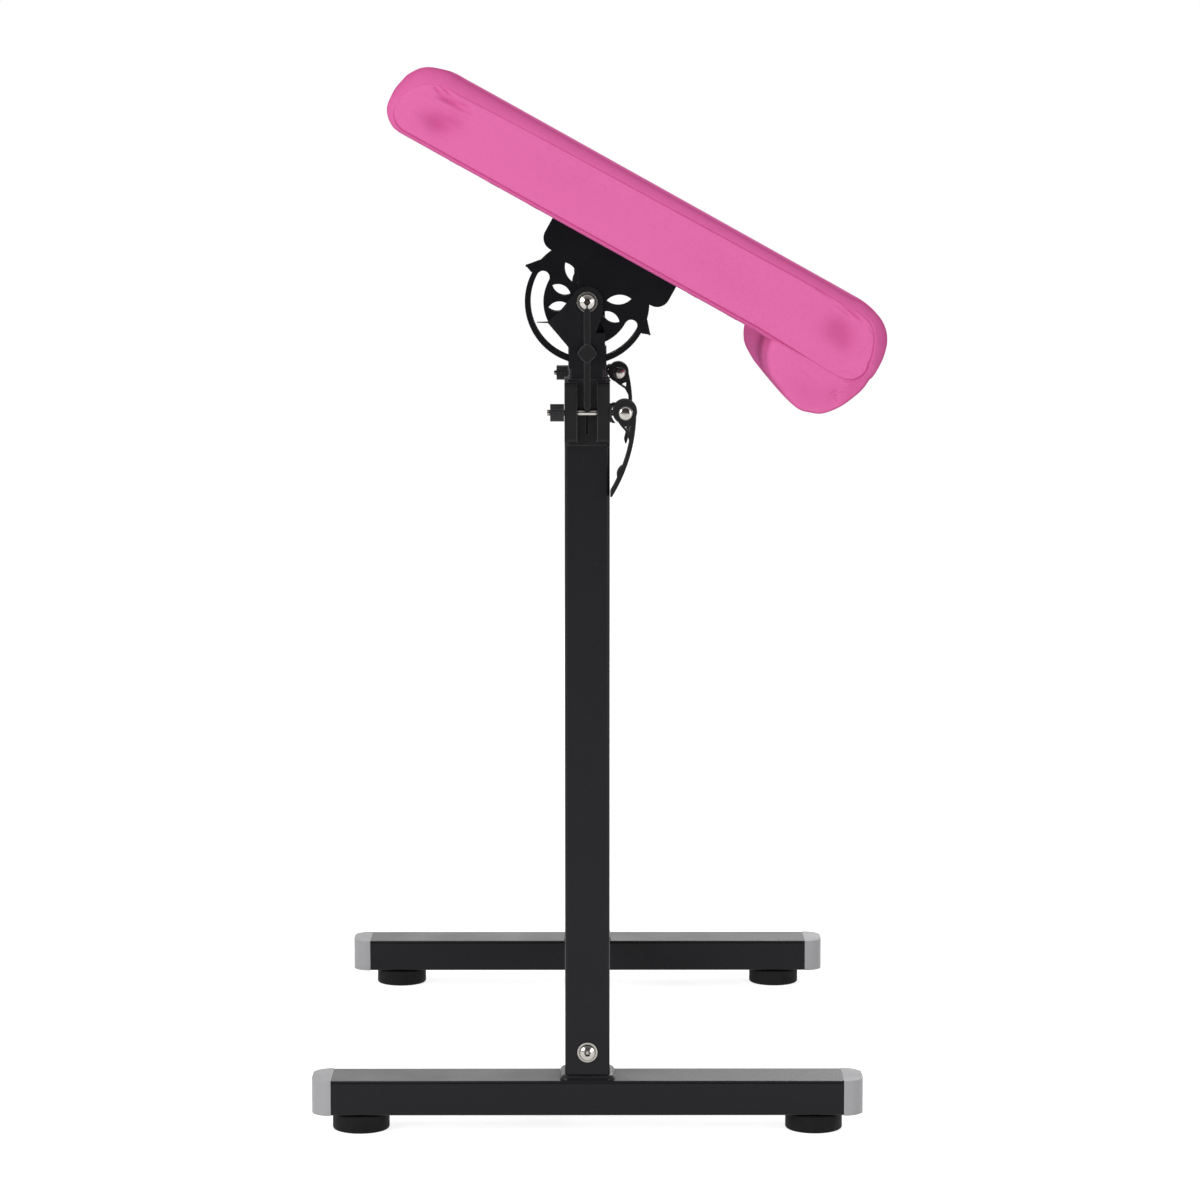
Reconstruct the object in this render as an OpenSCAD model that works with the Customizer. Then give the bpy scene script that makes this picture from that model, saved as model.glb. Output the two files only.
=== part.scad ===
// Tattoo arm rest stand: a wide padded rest on two height-adjustable legs.
// X runs across the pad's short side, Y along its long side, Z up. Millimetres.
// The near leg (towards -Y) carries the slotted tilt bracket and its lock.

/* [Feet and bars] */
// Length of a foot bar without its end caps
bar_l = 437; // [300:1:600]
// Depth of a foot bar
bar_d = 50; // [46:1:80]
// Height of a foot bar
bar_h = 30; // [24:1:50]
// Wall of a foot bar
bar_wall = 2; // [1.5:0.1:4]
// Corner radius of a foot bar
bar_round = 2.5; // [1:0.1:5]
// How far an end cap stands past its bar
cap_l = 17; // [8:0.5:24]
// How far an end cap reaches into its bar
cap_plug_l = 16; // [8:0.5:30]
// Diameter of a rubber foot
foot_d = 48.8; // [34:0.2:50]
// Height of a rubber foot
foot_h = 15; // [10:0.5:30]
// Raised boss between a foot and its bar
foot_boss_h = 1; // [0.5:0.1:4]
// Distance of a near foot's centre from the end of its bar
near_foot_end = 24.5; // [24:0.5:60]
// Distance of a far foot's centre from the end of its bar
far_foot_end = 30.5; // [24:0.5:60]

/* [Columns] */
// Distance of a column's centre from the end of the pad
leg_inset = 42; // [40:1:80]
// Outside width of a column
column_w = 38; // [36:0.5:44]
// Wall of a column
column_wall = 2; // [1.5:0.1:2.6]
// Corner radius of a column
column_round = 3; // [1:0.1:5]
// Height of a column above its bar
column_l = 541; // [420:1:700]
// Leg of the weld at the foot of a column
weld_leg = 4.5; // [2:0.5:6]
// Width of the cross bar that joins the columns
cross_w = 30; // [20:1:34]
// Wall of the cross bar
cross_wall = 2; // [1.5:0.1:4]
// Height of the cross bar's centre above the foot bars
cross_rise = 24; // [20:1:60]

/* [Collars] */
// Height of a split collar above its column
collar_h = 56; // [50:1:80]
// How far a collar's spigot reaches into its column
spigot_l = 40; // [20:1:80]
// Chamfer down the corners of a collar
collar_chamfer = 3; // [1:0.1:4]
// Width of the split in a collar
split_w = 2; // [1:0.1:4]
// Width of the open channel between the clamp ears
channel_w = 17; // [12:0.5:20]
// How far the clamp ears stand out from a collar
ear_out = 10; // [9:0.5:14]
// Height of the clamp ears
ear_h = 50; // [34:1:54]
// Height of the clamp skewer above the column
skewer_rise = 28; // [24:1:34]

/* [Quick releases] */
// Diameter of the skewer
skewer_d = 5; // [4:0.1:6]
// Diameter of the silver pin that a lever turns on
pin_d = 11.6; // [9:0.1:13]
// Distance of the pin from the column's centre
pin_x = 32; // [32:0.5:38]
// Radius of a lever's cam
cam_r = 10.3; // [9.5:0.1:10.6]
// How far the cam is off the pin's centre
cam_off = 1.3; // [0.6:0.1:1.4]
// Width of a lever along its pin
lever_w = 16; // [12:0.5:16]
// Thickness of a lever's blade
lever_t = 3.7; // [2.5:0.1:5]
// Radius of the curve along a lever's back
lever_r = 135; // [110:1:180]
// Reach of a lever below its pin
lever_l = 70; // [55:1:80]
// How far the far lever is swung open at rest
far_lever_open = 15; // [0:1:40]
// Diameter of an adjusting nut
nut_d = 14.6; // [12:0.2:16]
// Length of an adjusting nut
nut_l = 11.6; // [8:0.2:16]

/* [Posts] */
// Outside width of a sliding post
post_w = 30; // [28:0.1:30]
// Wall of a sliding post
post_wall = 2; // [1.5:0.1:4]
// Corner radius of a sliding post
post_round = 2.5; // [1:0.1:4]
// How far a post stands out of its collar at the lowest setting
post_out = 8; // [4:0.5:20]
// Space left between the cross bar's bolts and a post at its lowest setting
post_floor = 10; // [2:1:80]

/* [Tilt joint] */
// Height of the tilt pivot above the top of a post
pivot_rise = 56; // [56:0.5:70]
// Diameter of the pivot bolt and of the lock stud
bolt_d = 8; // [6:0.1:8]
// Thickness of the fork's legs
fork_t = 3; // [2:0.1:4]
// Radius of the middle of the arc slot
slot_r = 42; // [40:0.1:43]
// Width of the arc slot
slot_w = 10.8; // [10:0.1:12]
// Width of the rim outside the arc slot
rim_w = 4.7; // [3:0.1:5.2]
// Thickness of the tilt plates
plate_t = 2.5; // [2:0.1:3.5]
// Width of the tilt bracket's skirt
skirt_w = 118; // [108:1:140]
// Depth of the skirt below the pad
skirt_h = 24; // [16:0.5:24]
// Radius of the skirt's lower corners
skirt_round = 11; // [4:0.5:12]
// Depth of the bracket's mounting flange
flange_d = 72; // [60:1:110]
// Thickness of the mounting flange
flange_t = 3; // [2:0.1:5]
// Reach of the tilt handle's upper arm
handle_up = 37.5; // [20:0.5:40]
// Reach of the tilt handle's lower arm
handle_down = 47; // [20:0.5:47]
// Width of the tilt handle's arms
handle_w = 5.4; // [4:0.1:8]
// Thickness of the tilt handle's arms
handle_t = 5; // [3:0.1:5.5]

/* [Pad] */
// Slope of the pad at rest, right side down
rest_tilt = 29; // [0:1:45]
// Height of the pad's underside above the pivot
pad_rise = 47.1; // [45:0.1:60]
// Length of the pad across the stand
pad_l = 459; // [400:1:520]
// How far the pad's middle is shifted towards its low end
pad_shift = 6.4; // [0:0.1:20]
// Length of the pad along the stand
pad_y = 684; // [676:1:800]
// Thickness of the pad at its edges
pad_t = 64; // [56:0.5:90]
// Extra height of the pad's crown
pad_crown = 3.7; // [0:0.1:12]
// Radius of the pad's upper ends
pad_top_r = 40; // [24:0.5:40]
// Radius of the pad's lower ends
pad_bottom_r = 22; // [10:0.5:23]
// Radius of the pad's long upper edges
pad_edge_r = 12; // [4:0.5:20]
// How far the sides are drawn in between the corners
pad_draw = 2.5; // [0:0.1:6]
// Thickness of the plywood board
board_t = 12; // [9:0.5:18]
// Thickness of the cloth under the board
cloth_t = 1; // [0.5:0.1:2]
// Width of the bolster under the low end
bolster_w = 88; // [60:1:120]
// Drop of the bolster below the pad
bolster_drop = 38; // [20:1:45]
// How much slimmer the bolster is at its far end
bolster_taper = 10; // [0:0.5:16]

/* [Hidden] */
$fn = 64;

// Clearances
over = 0.5;          // overrun of a cut
run_gap = 0.3;       // between parts that move past each other
slide_gap = 0.2;     // each side of a sliding fit
bore_gap = 0.4;      // added to a bolt's diameter for its hole
plug_gap = 0.2;      // each side of a plug in its tube

// Heights, worked out upwards from the floor
bar_z = foot_h + foot_boss_h;
column_z = bar_z + bar_h;
cross_z = column_z + cross_rise;
collar_z = column_z + column_l;
skewer_z = collar_z + skewer_rise;
collar_top = collar_z + collar_h;
post_top = collar_top + post_out;
pivot_z = post_top + pivot_rise;
stud_z = pivot_z - slot_r;
glide_z = cross_z + bolt_d / 2 + post_floor;

// Fasteners of the frame
cap_round_share = 0.94;  // corner radius of an end cap as a share of how far it stands out
foot_bolt_d = 8;
foot_bolt_head_d = 14;
foot_bolt_head_h = 4.5;
foot_pocket_d = 20;
foot_pocket_h = 6;
foot_boss_d = 26;
foot_round = 2;
foot_nut_af = 13;
foot_nut_h = 6.5;
foot_bolt_end = 1.5;     // how far a foot bolt stands past its nut
cross_insert_l = 32;
cross_bolt_grip = 26;    // how far a cross bar bolt goes into its insert
head_d = 12.4;
head_h = 4.2;
head_round_share = 0.9;  // radius of the domed head as a share of its diameter
socket_af = 5;
socket_h = 2.6;
washer_d = 17;
washer_t = 1.6;
lock_nut_af = 13;
lock_nut_h = 7.5;
bolt_end = 0.5;          // how far a pivot bolt stands past its nut
inner_r_share = 0.25;    // least inner corner radius as a share of the outer one

// Collars and skewers
bore_w = post_w + 2 * slide_gap;
spigot_w = column_w - 2 * column_wall - 2 * plug_gap;
bore_round = 1.5;
split_rise = 10;         // solid ring left below the split
ear_round = 3;
skewer_out = 2;          // between the column's face and the skewer
skewer_y = -(column_w / 2 + skewer_d / 2 + skewer_out);
rod_end = 2.6;           // how far the skewer stands past its nut
rod_reach = column_w / 2 + run_gap + nut_l + rod_end;
pin_end = 1;             // how far a pin stands out on each side of its lever
pin_l = lever_w + 2 * pin_end;
cup_d = 16;
cup_rim_d = 17.5;
cup_rim_l = 3.2;
cup_l = 4.9;
cam_sweep_r = cam_r + cam_off + run_gap;
skewer_play = 0.8;       // each side of the skewer in a lever's fork
fork_gap = skewer_d + 2 * skewer_play;
lever_bore_gap = 0.5;
strut_shares = [
    [-0.62, -0.70], [-0.40, -1.02], [0.12, -1.62], [0.34, -2.55], [0.62, -2.3], [0.75, -0.6], [0, -0.5]
];
window_shares = [[-0.10, -1.10], [0.40, -1.04], [0.27, -1.52]];
thumb_r = 9;
thumb_out = 2.2;
thumb_share = 0.72;      // how far down the lever the thumb rest lies
nut_flutes = 16;
flute_d = 1.6;
flute_out_share = 0.2;   // how far a flute's centre lies outside the nut, as a share of the flute

// Posts and forks
glide_w = column_w - 2 * column_wall - 2 * slide_gap;
glide_h = 14;
glide_plug_l = 26;
fork_base_t = 3;
fork_in = post_w / 2 - fork_t;   // inner face of a fork leg
ear_top_r = 13;
// Outline of the pointer on the left and of the notch on the right, as shares of the slot's radius
wing_shares = [
    [-0.357, -0.92], [-0.78, -0.42], [-1, -0.412], [-1, -0.396], [-0.78, -0.388], [-0.55, -0.19], [-0.25, 0.17]
];
notch_shares = [[0.30, -0.25], [0.165, -0.63], [0.357, -0.69]];
wing_low_share = 0.62;   // where the wing leaves the leg

// Tilt brackets
plate_y = fork_in - run_gap;     // outer face of a tilt plate
disc_r = slot_r - slot_w / 2;
rim_r = slot_r + slot_w / 2 + rim_w;
sleeve_d = 14;
stud_bush_d = slot_w - 2 * run_gap;
barb_shares = [[0.86, 0.36], [1.145, 0.03], [1.015, -0.02], [0.80, 0.05]];
barb_tip_r = 0.9;
// Each leaf-shaped hole: direction, start and end as shares of the disc, width as a share
leaf_shares = [[32, 0.44, 1.02, 0.24], [-4, 0.42, 0.88, 0.22], [-38, 0.44, 0.90, 0.22]];
plain_top_w = 84;
plain_round = 15;
flange_screw_d = 6;
flange_x_share = 0.373;          // from the flange's middle, as a share of its width
flange_y_shares = [0.52, 0.86];  // from its front edge, as shares of its depth
flange_screw_x = flange_x_share * skirt_w;
flange_head_d = 10.5;
flange_head_h = 3.3;
t_nut_d = 19;
t_nut_t = 1.6;
t_nut_barrel_d = 8.6;
t_nut_barrel_h = 9;
stud_head_d = 16;
stud_head_h = 5;
handle_out = 3.3;        // between the clamp ears and the handle's arms
handle_y = -(column_w / 2 + ear_out + handle_out);
handle_boss_d = 14;
handle_hub = 12.6;
handle_hub_t = 7;
stud_end = 3;            // from the front of the handle's arms to the stud's hidden end
stud_y = handle_y - handle_t + stud_end;

// Pad
board_end = 29;          // from the pad's end to the board
board_side = 16;         // from the pad's side to the board
board_round = 24;
cloth_inset = 22;
pocket_gap = 0.4;
seat_gap = 0.3;
pocket_l = pad_l - 2 * board_end + 2 * pocket_gap;
pocket_y = pad_y - 2 * board_side + 2 * pocket_gap;
pad_x0 = pad_shift - pad_l / 2;
pad_x1 = pad_shift + pad_l / 2;
pad_z0 = pad_rise + seat_gap;
pad_z1 = pad_rise + pad_t;
board_z = pad_rise + cloth_t;
corner_steps = 7;
long_steps = 10;
ring_inset_shares = [0, 0.1, 0.3, 0.6, 1];   // across the rounded edge
face_shares = [0.45, 0.75];                  // across the side face
side_rows = 5;
corner_gap = 1;          // least straight between an upper and a lower corner
crown_power = [4, 3];    // how flat the crown stays across and along the pad
draw_power = 7;          // how late the drawn-in sides swing out to the corners
bolster_face_r = 10;
bolster_end_gap = 1.5;   // from the pad's side to the bolster's end
// Rows of a bolster's end: drawn in by this share, at this share of the face radius from the end
bolster_end_shares = [[0.7, 0], [0.3, 0], [0.12, 0.15], [0.03, 0.5], [0, 1]];
taper_power = 1.5;
bolster_steps = 3;
bolster_rows = 4;
bolster_y = pad_y - 2 * bolster_end_gap;
bolster_gap = 0.5;
// Outline of the bolster: shares of its width from the left, and of its drop downwards
bolster_shares = [
    [0, 0.02], [0.035, 0.32], [0.14, 0.64], [0.29, 0.83], [0.43, 0.96], [0.556, 1], [0.65, 0.955],
    [0.75, 0.80], [0.867, 0.50], [0.955, 0.06], [0.985, -0.22]
];
bolster_mid_shares = [0.72, 0.42];
bolster_mid = [
    pad_x1 - bolster_w * (1 - bolster_mid_shares[0]),
    pad_z0 - bolster_drop * bolster_mid_shares[1]
];

steel_black = [0.13, 0.13, 0.14];
plastic_black = [0.16, 0.16, 0.17];
rubber_black = [0.1, 0.1, 0.1];
cap_grey = [0.75, 0.75, 0.75];
bright_steel = [0.8, 0.79, 0.77];
vinyl_pink = [0.88, 0.43, 0.66];
cloth_black = [0.08, 0.08, 0.09];
plywood = [0.76, 0.62, 0.42];

// Points of a quarter turn about c, from angle a0, with radius r
function arc(c, r, a0, n) = [for (i = [0:n]) c + r * [cos(a0 + 90 * i / n), sin(a0 + 90 * i / n)]];
// Evenly spaced points between a and b, without the ends
function run(a, b, n) = [for (i = [1:n - 1]) a + (b - a) * i / n];
// A smooth curve through p, with n steps between neighbours
function spline_at(a, b, c, d, t) =
    (2 * b + (c - a) * t + (2 * a - 5 * b + 4 * c - d) * t * t + (3 * b - a - 3 * c + d) * t * t * t) / 2;
function smooth(p, n) = concat(
    [for (i = [0:len(p) - 2], k = [0:n - 1])
        spline_at(p[max(i - 1, 0)], p[i], p[i + 1], p[min(i + 2, len(p) - 1)], k / n)],
    [p[len(p) - 1]]);
function turn(x, z) = x * cos(rest_tilt) + z * sin(rest_tilt);

// The pad's side outline, drawn in by d: round from the upper right corner by way of the left
function pad_ring(d) = let (
    r_min = pad_edge_r * inner_r_share,
    rb = max(pad_bottom_r - d, r_min),
    rt = min(max(pad_top_r - d, r_min), pad_z1 - pad_z0 - 2 * d - rb - corner_gap),
    x0 = pad_x0 + d,
    x1 = pad_x1 - d,
    z0 = pad_z0 + d,
    z1 = pad_z1 - d)
    concat(
        arc([x1 - rt, z1 - rt], rt, 0, corner_steps),
        run([x1 - rt, z1], [x0 + rt, z1], long_steps),
        arc([x0 + rt, z1 - rt], rt, 90, corner_steps),
        arc([x0 + rb, z0 + rb], rb, 180, corner_steps),
        run([x0 + rb, z0], [x1 - rb, z0], long_steps),
        arc([x1 - rb, z0 + rb], rb, -90, corner_steps));
// Crown on the top and draw-in on the ends, at side point p and distance y from the middle
function pad_form(p, y) = let (
    s = 2 * (p[0] - pad_shift) / pad_l,
    t = 2 * y / pad_y,
    up = max(0, (p[1] - pad_z0) / (pad_z1 - pad_z0)),
    across = max(0, 1 - pow(abs(s), crown_power[0])),
    along = max(0, 1 - pow(abs(t), crown_power[1])),
    end_in = pad_draw * pow(abs(s), draw_power) * max(0, 1 - t * t),
    side_in = pad_draw * pow(abs(t), draw_power) * max(0, 1 - s * s))
    [p[0] - sign(s) * end_in, y - sign(y) * side_in, p[1] + pad_crown * up * up * across * along];
// Insets and places of the rings from one long side to the middle
function edge_rings() = concat(
    [for (i = [len(face_shares) - 1:-1:0])
        [pad_edge_r + face_shares[i] * (pad_t / 2 - pad_edge_r), pad_y / 2]],
    [for (i = [len(ring_inset_shares) - 1:-1:0]) let (k = ring_inset_shares[i])
        [pad_edge_r * k, pad_y / 2 - pad_edge_r * (1 - sqrt(1 - pow(1 - k, 2)))]]);
// The bolster's outline, smoothed and closed round the pad's lower corner
function bolster_outline() = let (
    x0 = pad_x1 - bolster_w,
    c = [pad_x1 - pad_bottom_r, pad_z0 + pad_bottom_r],
    r = pad_bottom_r + bolster_gap)
    concat(
        smooth([for (p = bolster_shares) [x0 + p[0] * bolster_w, pad_z0 - bolster_gap - p[1] * bolster_drop]],
            bolster_steps),
        [for (a = [-30, -50, -70, -90]) c + r * [cos(a), sin(a)]],
        run([c[0], pad_z0 - bolster_gap], [x0, pad_z0 - bolster_gap], bolster_rows));

// Half the distance between the stand's extreme right and extreme left, to centre it
pad_reach = max([for (p = pad_ring(0)) turn(p[0], p[1])]);
column_gap = pad_y - 2 * leg_inset;
stand_half = bar_l / 2 + cap_l;
shift_x = (stand_half - pad_reach) / 2;

// Placing
module stand() translate([shift_x, 0, 0]) children();
module near_leg() stand() translate([0, -column_gap / 2, 0]) children();
module far_leg() stand() translate([0, column_gap / 2, 0]) mirror([0, 1, 0]) children();
module both_legs() { near_leg() children(); far_leg() children(); }
module pad_frame() translate([0, 0, pivot_z]) rotate([0, rest_tilt, 0]) children();
// Turns a drawing in X and Z into a plate from y to y + t
module upright(y, t) translate([0, y + t, 0]) rotate([90, 0, 0]) linear_extrude(t) children();
// A cylinder along Y from y, and one along X from x
module along_y(d, y, l) translate([0, y, 0]) rotate([-90, 0, 0]) cylinder(d = d, h = l);
module along_x(d, x, l) translate([x, 0, 0]) rotate([0, 90, 0]) cylinder(d = d, h = l);

module rounded(w, d, r) {
    square([w - 2 * r, d], center = true);
    square([w, d - 2 * r], center = true);
    for (x = [-1, 1], y = [-1, 1])
        translate([x * (w / 2 - r), y * (d / 2 - r)]) circle(r = r);
}
module box_tube(w, d, wall, r) difference() {
    rounded(w, d, r);
    rounded(w - 2 * wall, d - 2 * wall, max(r - wall, r * inner_r_share));
}
// A mesh through closed rings of points, with a point in the middle of each end
module loft(rings, first, last) {
    n = len(rings[0]);
    m = len(rings);
    points = concat([for (r = rings) each r], [first, last]);
    faces = concat(
        [for (j = [0:m - 2], i = [0:n - 1]) [j * n + i, j * n + (i + 1) % n, (j + 1) * n + i]],
        [for (j = [0:m - 2], i = [0:n - 1])
            [j * n + (i + 1) % n, (j + 1) * n + (i + 1) % n, (j + 1) * n + i]],
        [for (i = [0:n - 1]) [m * n, (i + 1) % n, i]],
        [for (i = [0:n - 1]) [m * n + 1, (m - 1) * n + i, (m - 1) * n + (i + 1) % n]]);
    polyhedron(points, faces, convexity = 4);
}
// A button head bolt along Y: the head's seat at y = 0, the head towards -Y
module button_bolt(d, l) difference() {
    union() {
        along_y(d, 0, l);
        rotate([90, 0, 0]) rotate_extrude() intersection() {
            square([head_d / 2, head_h]);
            translate([0, head_h - head_d * head_round_share]) circle(r = head_d * head_round_share);
        }
    }
    translate([0, -head_h - over, 0]) rotate([-90, 0, 0])
        cylinder(d = socket_af / cos(30), h = socket_h + over, $fn = 6);
}
module washer(y) difference() {
    along_y(washer_d, y, washer_t);
    along_y(bolt_d + bore_gap, y - over, washer_t + 2 * over);
}

// Foot bars
module foot_bar(foot_end) difference() {
    translate([-bar_l / 2, 0, bar_z + bar_h / 2]) rotate([90, 0, 90])
        linear_extrude(bar_l) box_tube(bar_d, bar_h, bar_wall, bar_round);
    for (x = [-1, 1]) translate([x * (bar_l / 2 - foot_end), 0, bar_z - over])
        cylinder(d = foot_bolt_d + bore_gap, h = bar_wall + 2 * over);
}
module near_foot_bar() color(steel_black) near_leg() foot_bar(near_foot_end);
module far_foot_bar() color(steel_black) far_leg() foot_bar(far_foot_end);

module end_cap() {
    translate([bar_l / 2, 0, bar_z]) linear_extrude(bar_h) intersection() {
        translate([0, -bar_d / 2]) square([cap_l, bar_d]);
        rounded(2 * cap_l, bar_d, cap_l * cap_round_share);
    }
    translate([bar_l / 2 - cap_plug_l, 0, bar_z + bar_h / 2]) rotate([90, 0, 90])
        linear_extrude(cap_plug_l + over)
            rounded(bar_d - 2 * bar_wall - 2 * plug_gap, bar_h - 2 * bar_wall - 2 * plug_gap, bar_round);
}
module bar_end_caps() color(cap_grey) both_legs() {
    end_cap();
    mirror([1, 0, 0]) end_cap();
}

module each_foot() {
    near_leg() for (x = [-1, 1]) translate([x * (bar_l / 2 - near_foot_end), 0, 0]) children();
    far_leg() for (x = [-1, 1]) translate([x * (bar_l / 2 - far_foot_end), 0, 0]) children();
}
module rubber_feet() color(rubber_black) each_foot() difference() {
    rotate_extrude() {
        square([foot_boss_d / 2, foot_h + foot_boss_h]);
        translate([0, foot_round]) square([foot_d / 2, foot_h - foot_round - foot_boss_h]);
        square([foot_d / 2 - foot_round, foot_h]);
        translate([foot_d / 2 - foot_round, foot_round]) circle(r = foot_round);
        translate([foot_d / 2 - foot_round, foot_h - foot_round]) circle(r = foot_round);
    }
    translate([0, 0, -over]) cylinder(d = foot_pocket_d, h = foot_pocket_h + over);
    cylinder(d = foot_bolt_d + bore_gap, h = foot_h + foot_boss_h + over);
}
module foot_screws() color(bright_steel) each_foot() {
    translate([0, 0, foot_pocket_h - foot_bolt_head_h]) cylinder(d = foot_bolt_head_d, h = foot_bolt_head_h);
    translate([0, 0, foot_pocket_h - foot_bolt_head_h]) cylinder(d = foot_bolt_d,
        h = foot_bolt_head_h + bar_z + bar_wall + foot_nut_h + foot_bolt_end - foot_pocket_h);
}
module foot_nuts() color(bright_steel) each_foot() translate([0, 0, bar_z + bar_wall]) difference() {
    cylinder(d = foot_nut_af / cos(30), h = foot_nut_h, $fn = 6);
    translate([0, 0, -over]) cylinder(d = foot_bolt_d + bore_gap / 2, h = foot_nut_h + 2 * over);
}

// Columns and the cross bar between them
module column() difference() {
    translate([0, 0, column_z]) linear_extrude(column_l)
        box_tube(column_w, column_w, column_wall, column_round);
    translate([0, 0, cross_z]) along_y(bolt_d + bore_gap, -column_w, 2 * column_w);
}
module near_column() color(steel_black) near_leg() column();
module far_column() color(steel_black) far_leg() column();

module weld_profile() intersection() {
    square(weld_leg);
    circle(r = weld_leg);
}
module weld_bead() for (a = [0:90:270]) rotate(a) {
    translate([column_w / 2, column_w / 2 - column_round, column_z]) rotate([90, 0, 0])
        linear_extrude(column_w - 2 * column_round) weld_profile();
    translate([column_w / 2 - column_round, column_w / 2 - column_round, column_z])
        rotate_extrude(angle = 90) translate([column_round, 0]) weld_profile();
}
module column_welds() color(steel_black) both_legs() weld_bead();

module crossbar() color(steel_black) stand()
    translate([0, -column_gap / 2 + column_w / 2, cross_z]) rotate([-90, 0, 0])
        linear_extrude(column_gap - column_w) box_tube(cross_w, cross_w, cross_wall, column_round);
module crossbar_inserts() color(steel_black) both_legs() translate([0, column_w / 2, cross_z]) difference() {
    rotate([-90, 0, 0]) linear_extrude(cross_insert_l)
        square(cross_w - 2 * cross_wall - 2 * plug_gap, center = true);
    along_y(bolt_d + bore_gap / 2, -over, cross_insert_l + 2 * over);
}
module crossbar_bolts() color(bright_steel) both_legs()
    translate([0, -column_w / 2 - washer_t, cross_z])
        button_bolt(bolt_d, washer_t + column_w + cross_bolt_grip);
module crossbar_washers() color(bright_steel) both_legs()
    translate([0, 0, cross_z]) washer(-column_w / 2 - washer_t);

// Collars: a split sleeve with two clamp ears and a spigot down the column
module collar_outline() {
    difference() {
        square(column_w, center = true);
        for (a = [0:90:270]) rotate(a) translate([column_w / 2, column_w / 2]) rotate(45)
            square(collar_chamfer * sqrt(2), center = true);
    }
}
module collar() difference() {
    union() {
        translate([0, 0, collar_z]) linear_extrude(collar_h) collar_outline();
        for (x = [-1, 1]) translate([x * (column_w / 2 + channel_w / 2) / 2, 0, skewer_z])
            rotate([90, 0, 90]) translate([-column_w / 2 - ear_out / 2, 0, 0])
                linear_extrude(column_w / 2 - channel_w / 2, center = true) {
                    rounded(ear_out, ear_h, ear_round);
                    translate([ear_out / 4 + bore_round / 2, 0])
                        square([ear_out / 2 + bore_round, ear_h], center = true);
                }
        translate([0, 0, collar_z - spigot_l]) linear_extrude(spigot_l + over)
            rounded(spigot_w, spigot_w, bore_round);
    }
    translate([0, 0, collar_z - spigot_l - over]) linear_extrude(spigot_l + collar_h + 2 * over)
        rounded(bore_w, bore_w, bore_round);
    translate([-split_w / 2, -column_w, collar_z + split_rise]) cube([split_w, column_w, collar_h]);
    translate([0, skewer_y, skewer_z]) along_x(skewer_d + bore_gap, -column_w, 2 * column_w);
}
module near_collar() color(plastic_black) near_leg() collar();
module far_collar() color(plastic_black) far_leg() collar();

// Quick releases: skewer, cup, pin, lever and adjusting nut, along X
module at_skewer() translate([0, skewer_y, skewer_z]) children();
module skewer() at_skewer() along_x(skewer_d, -rod_reach, rod_reach + pin_x);
module near_skewer() color(bright_steel) near_leg() skewer();
module far_skewer() color(bright_steel) far_leg() skewer();

module cam_cups() color(plastic_black) both_legs() at_skewer() difference() {
    union() {
        along_x(cup_d, column_w / 2, cup_l);
        along_x(cup_rim_d, column_w / 2 + cup_l - cup_rim_l, cup_rim_l);
    }
    along_x(skewer_d + bore_gap, 0, column_w);
    translate([pin_x, 0, 0]) along_y(2 * cam_sweep_r, -column_w, 2 * column_w);
}
module cam_pins() color(bright_steel) both_legs() at_skewer() difference() {
    translate([pin_x, 0, 0]) along_y(pin_d, -pin_l / 2, pin_l);
    along_x(skewer_d, 0, pin_x);
}

// The lever's drawing, with the pin at the origin and the blade hanging down
module blade_outline() intersection() {
    translate([cam_r - lever_r - cam_off, cam_off]) {
        difference() {
            circle(r = lever_r);
            circle(r = lever_r - lever_t);
        }
        intersection() {
            circle(r = lever_r - lever_t / 2);
            rotate(-asin((thumb_share * lever_l + cam_off) / lever_r))
                translate([lever_r - lever_t - thumb_out + thumb_r, 0]) circle(r = thumb_r);
        }
    }
    translate([column_w / 2 + run_gap - pin_x, -lever_l]) square([lever_l, lever_l + cam_off]);
}
module lever_outline() difference() {
    union() {
        translate([-cam_off / 2, cam_off]) circle(r = cam_r);
        blade_outline();
        polygon([for (p = strut_shares) p * cam_r]);
    }
    polygon([for (p = window_shares) p * cam_r]);
    circle(d = pin_d + lever_bore_gap);
}
module lever() at_skewer() translate([pin_x, 0, 0]) difference() {
    upright(-lever_w / 2, lever_w) lever_outline();
    along_y(2 * cam_sweep_r, -fork_gap / 2, fork_gap);
}
module near_clamp_lever() color(plastic_black) near_leg() lever();
module far_clamp_lever() color(plastic_black) far_leg()
    translate([pin_x, skewer_y, skewer_z]) rotate([0, -far_lever_open, 0])
        translate([-pin_x, -skewer_y, -skewer_z]) lever();

module clamp_nut() at_skewer() translate([-column_w / 2 - run_gap - nut_l, 0, 0]) rotate([0, 90, 0])
    linear_extrude(nut_l) difference() {
        circle(d = nut_d);
        circle(d = skewer_d + bore_gap);
        for (i = [0:nut_flutes - 1]) rotate(360 * i / nut_flutes)
            translate([nut_d / 2 + flute_d * flute_out_share, 0]) circle(d = flute_d);
    }
module near_clamp_nut() color(plastic_black) near_leg() clamp_nut();
module far_clamp_nut() color(plastic_black) far_leg() clamp_nut();

// Posts, their glides and the forks on top of them
module post() translate([0, 0, glide_z + glide_h])
    linear_extrude(post_top - glide_z - glide_h) box_tube(post_w, post_w, post_wall, post_round);
module near_post() color(steel_black) near_leg() post();
module far_post() color(steel_black) far_leg() post();

module post_glides() color(plastic_black) both_legs() {
    translate([0, 0, glide_z]) linear_extrude(glide_h) rounded(glide_w, glide_w, post_round);
    translate([0, 0, glide_z + glide_h - over]) linear_extrude(glide_plug_l + over)
        square(post_w - 2 * post_wall - 2 * plug_gap, center = true);
}

module plain_leg() {
    translate([-post_w / 2, -pivot_rise]) square([post_w, pivot_rise]);
    circle(d = post_w);
}
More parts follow.
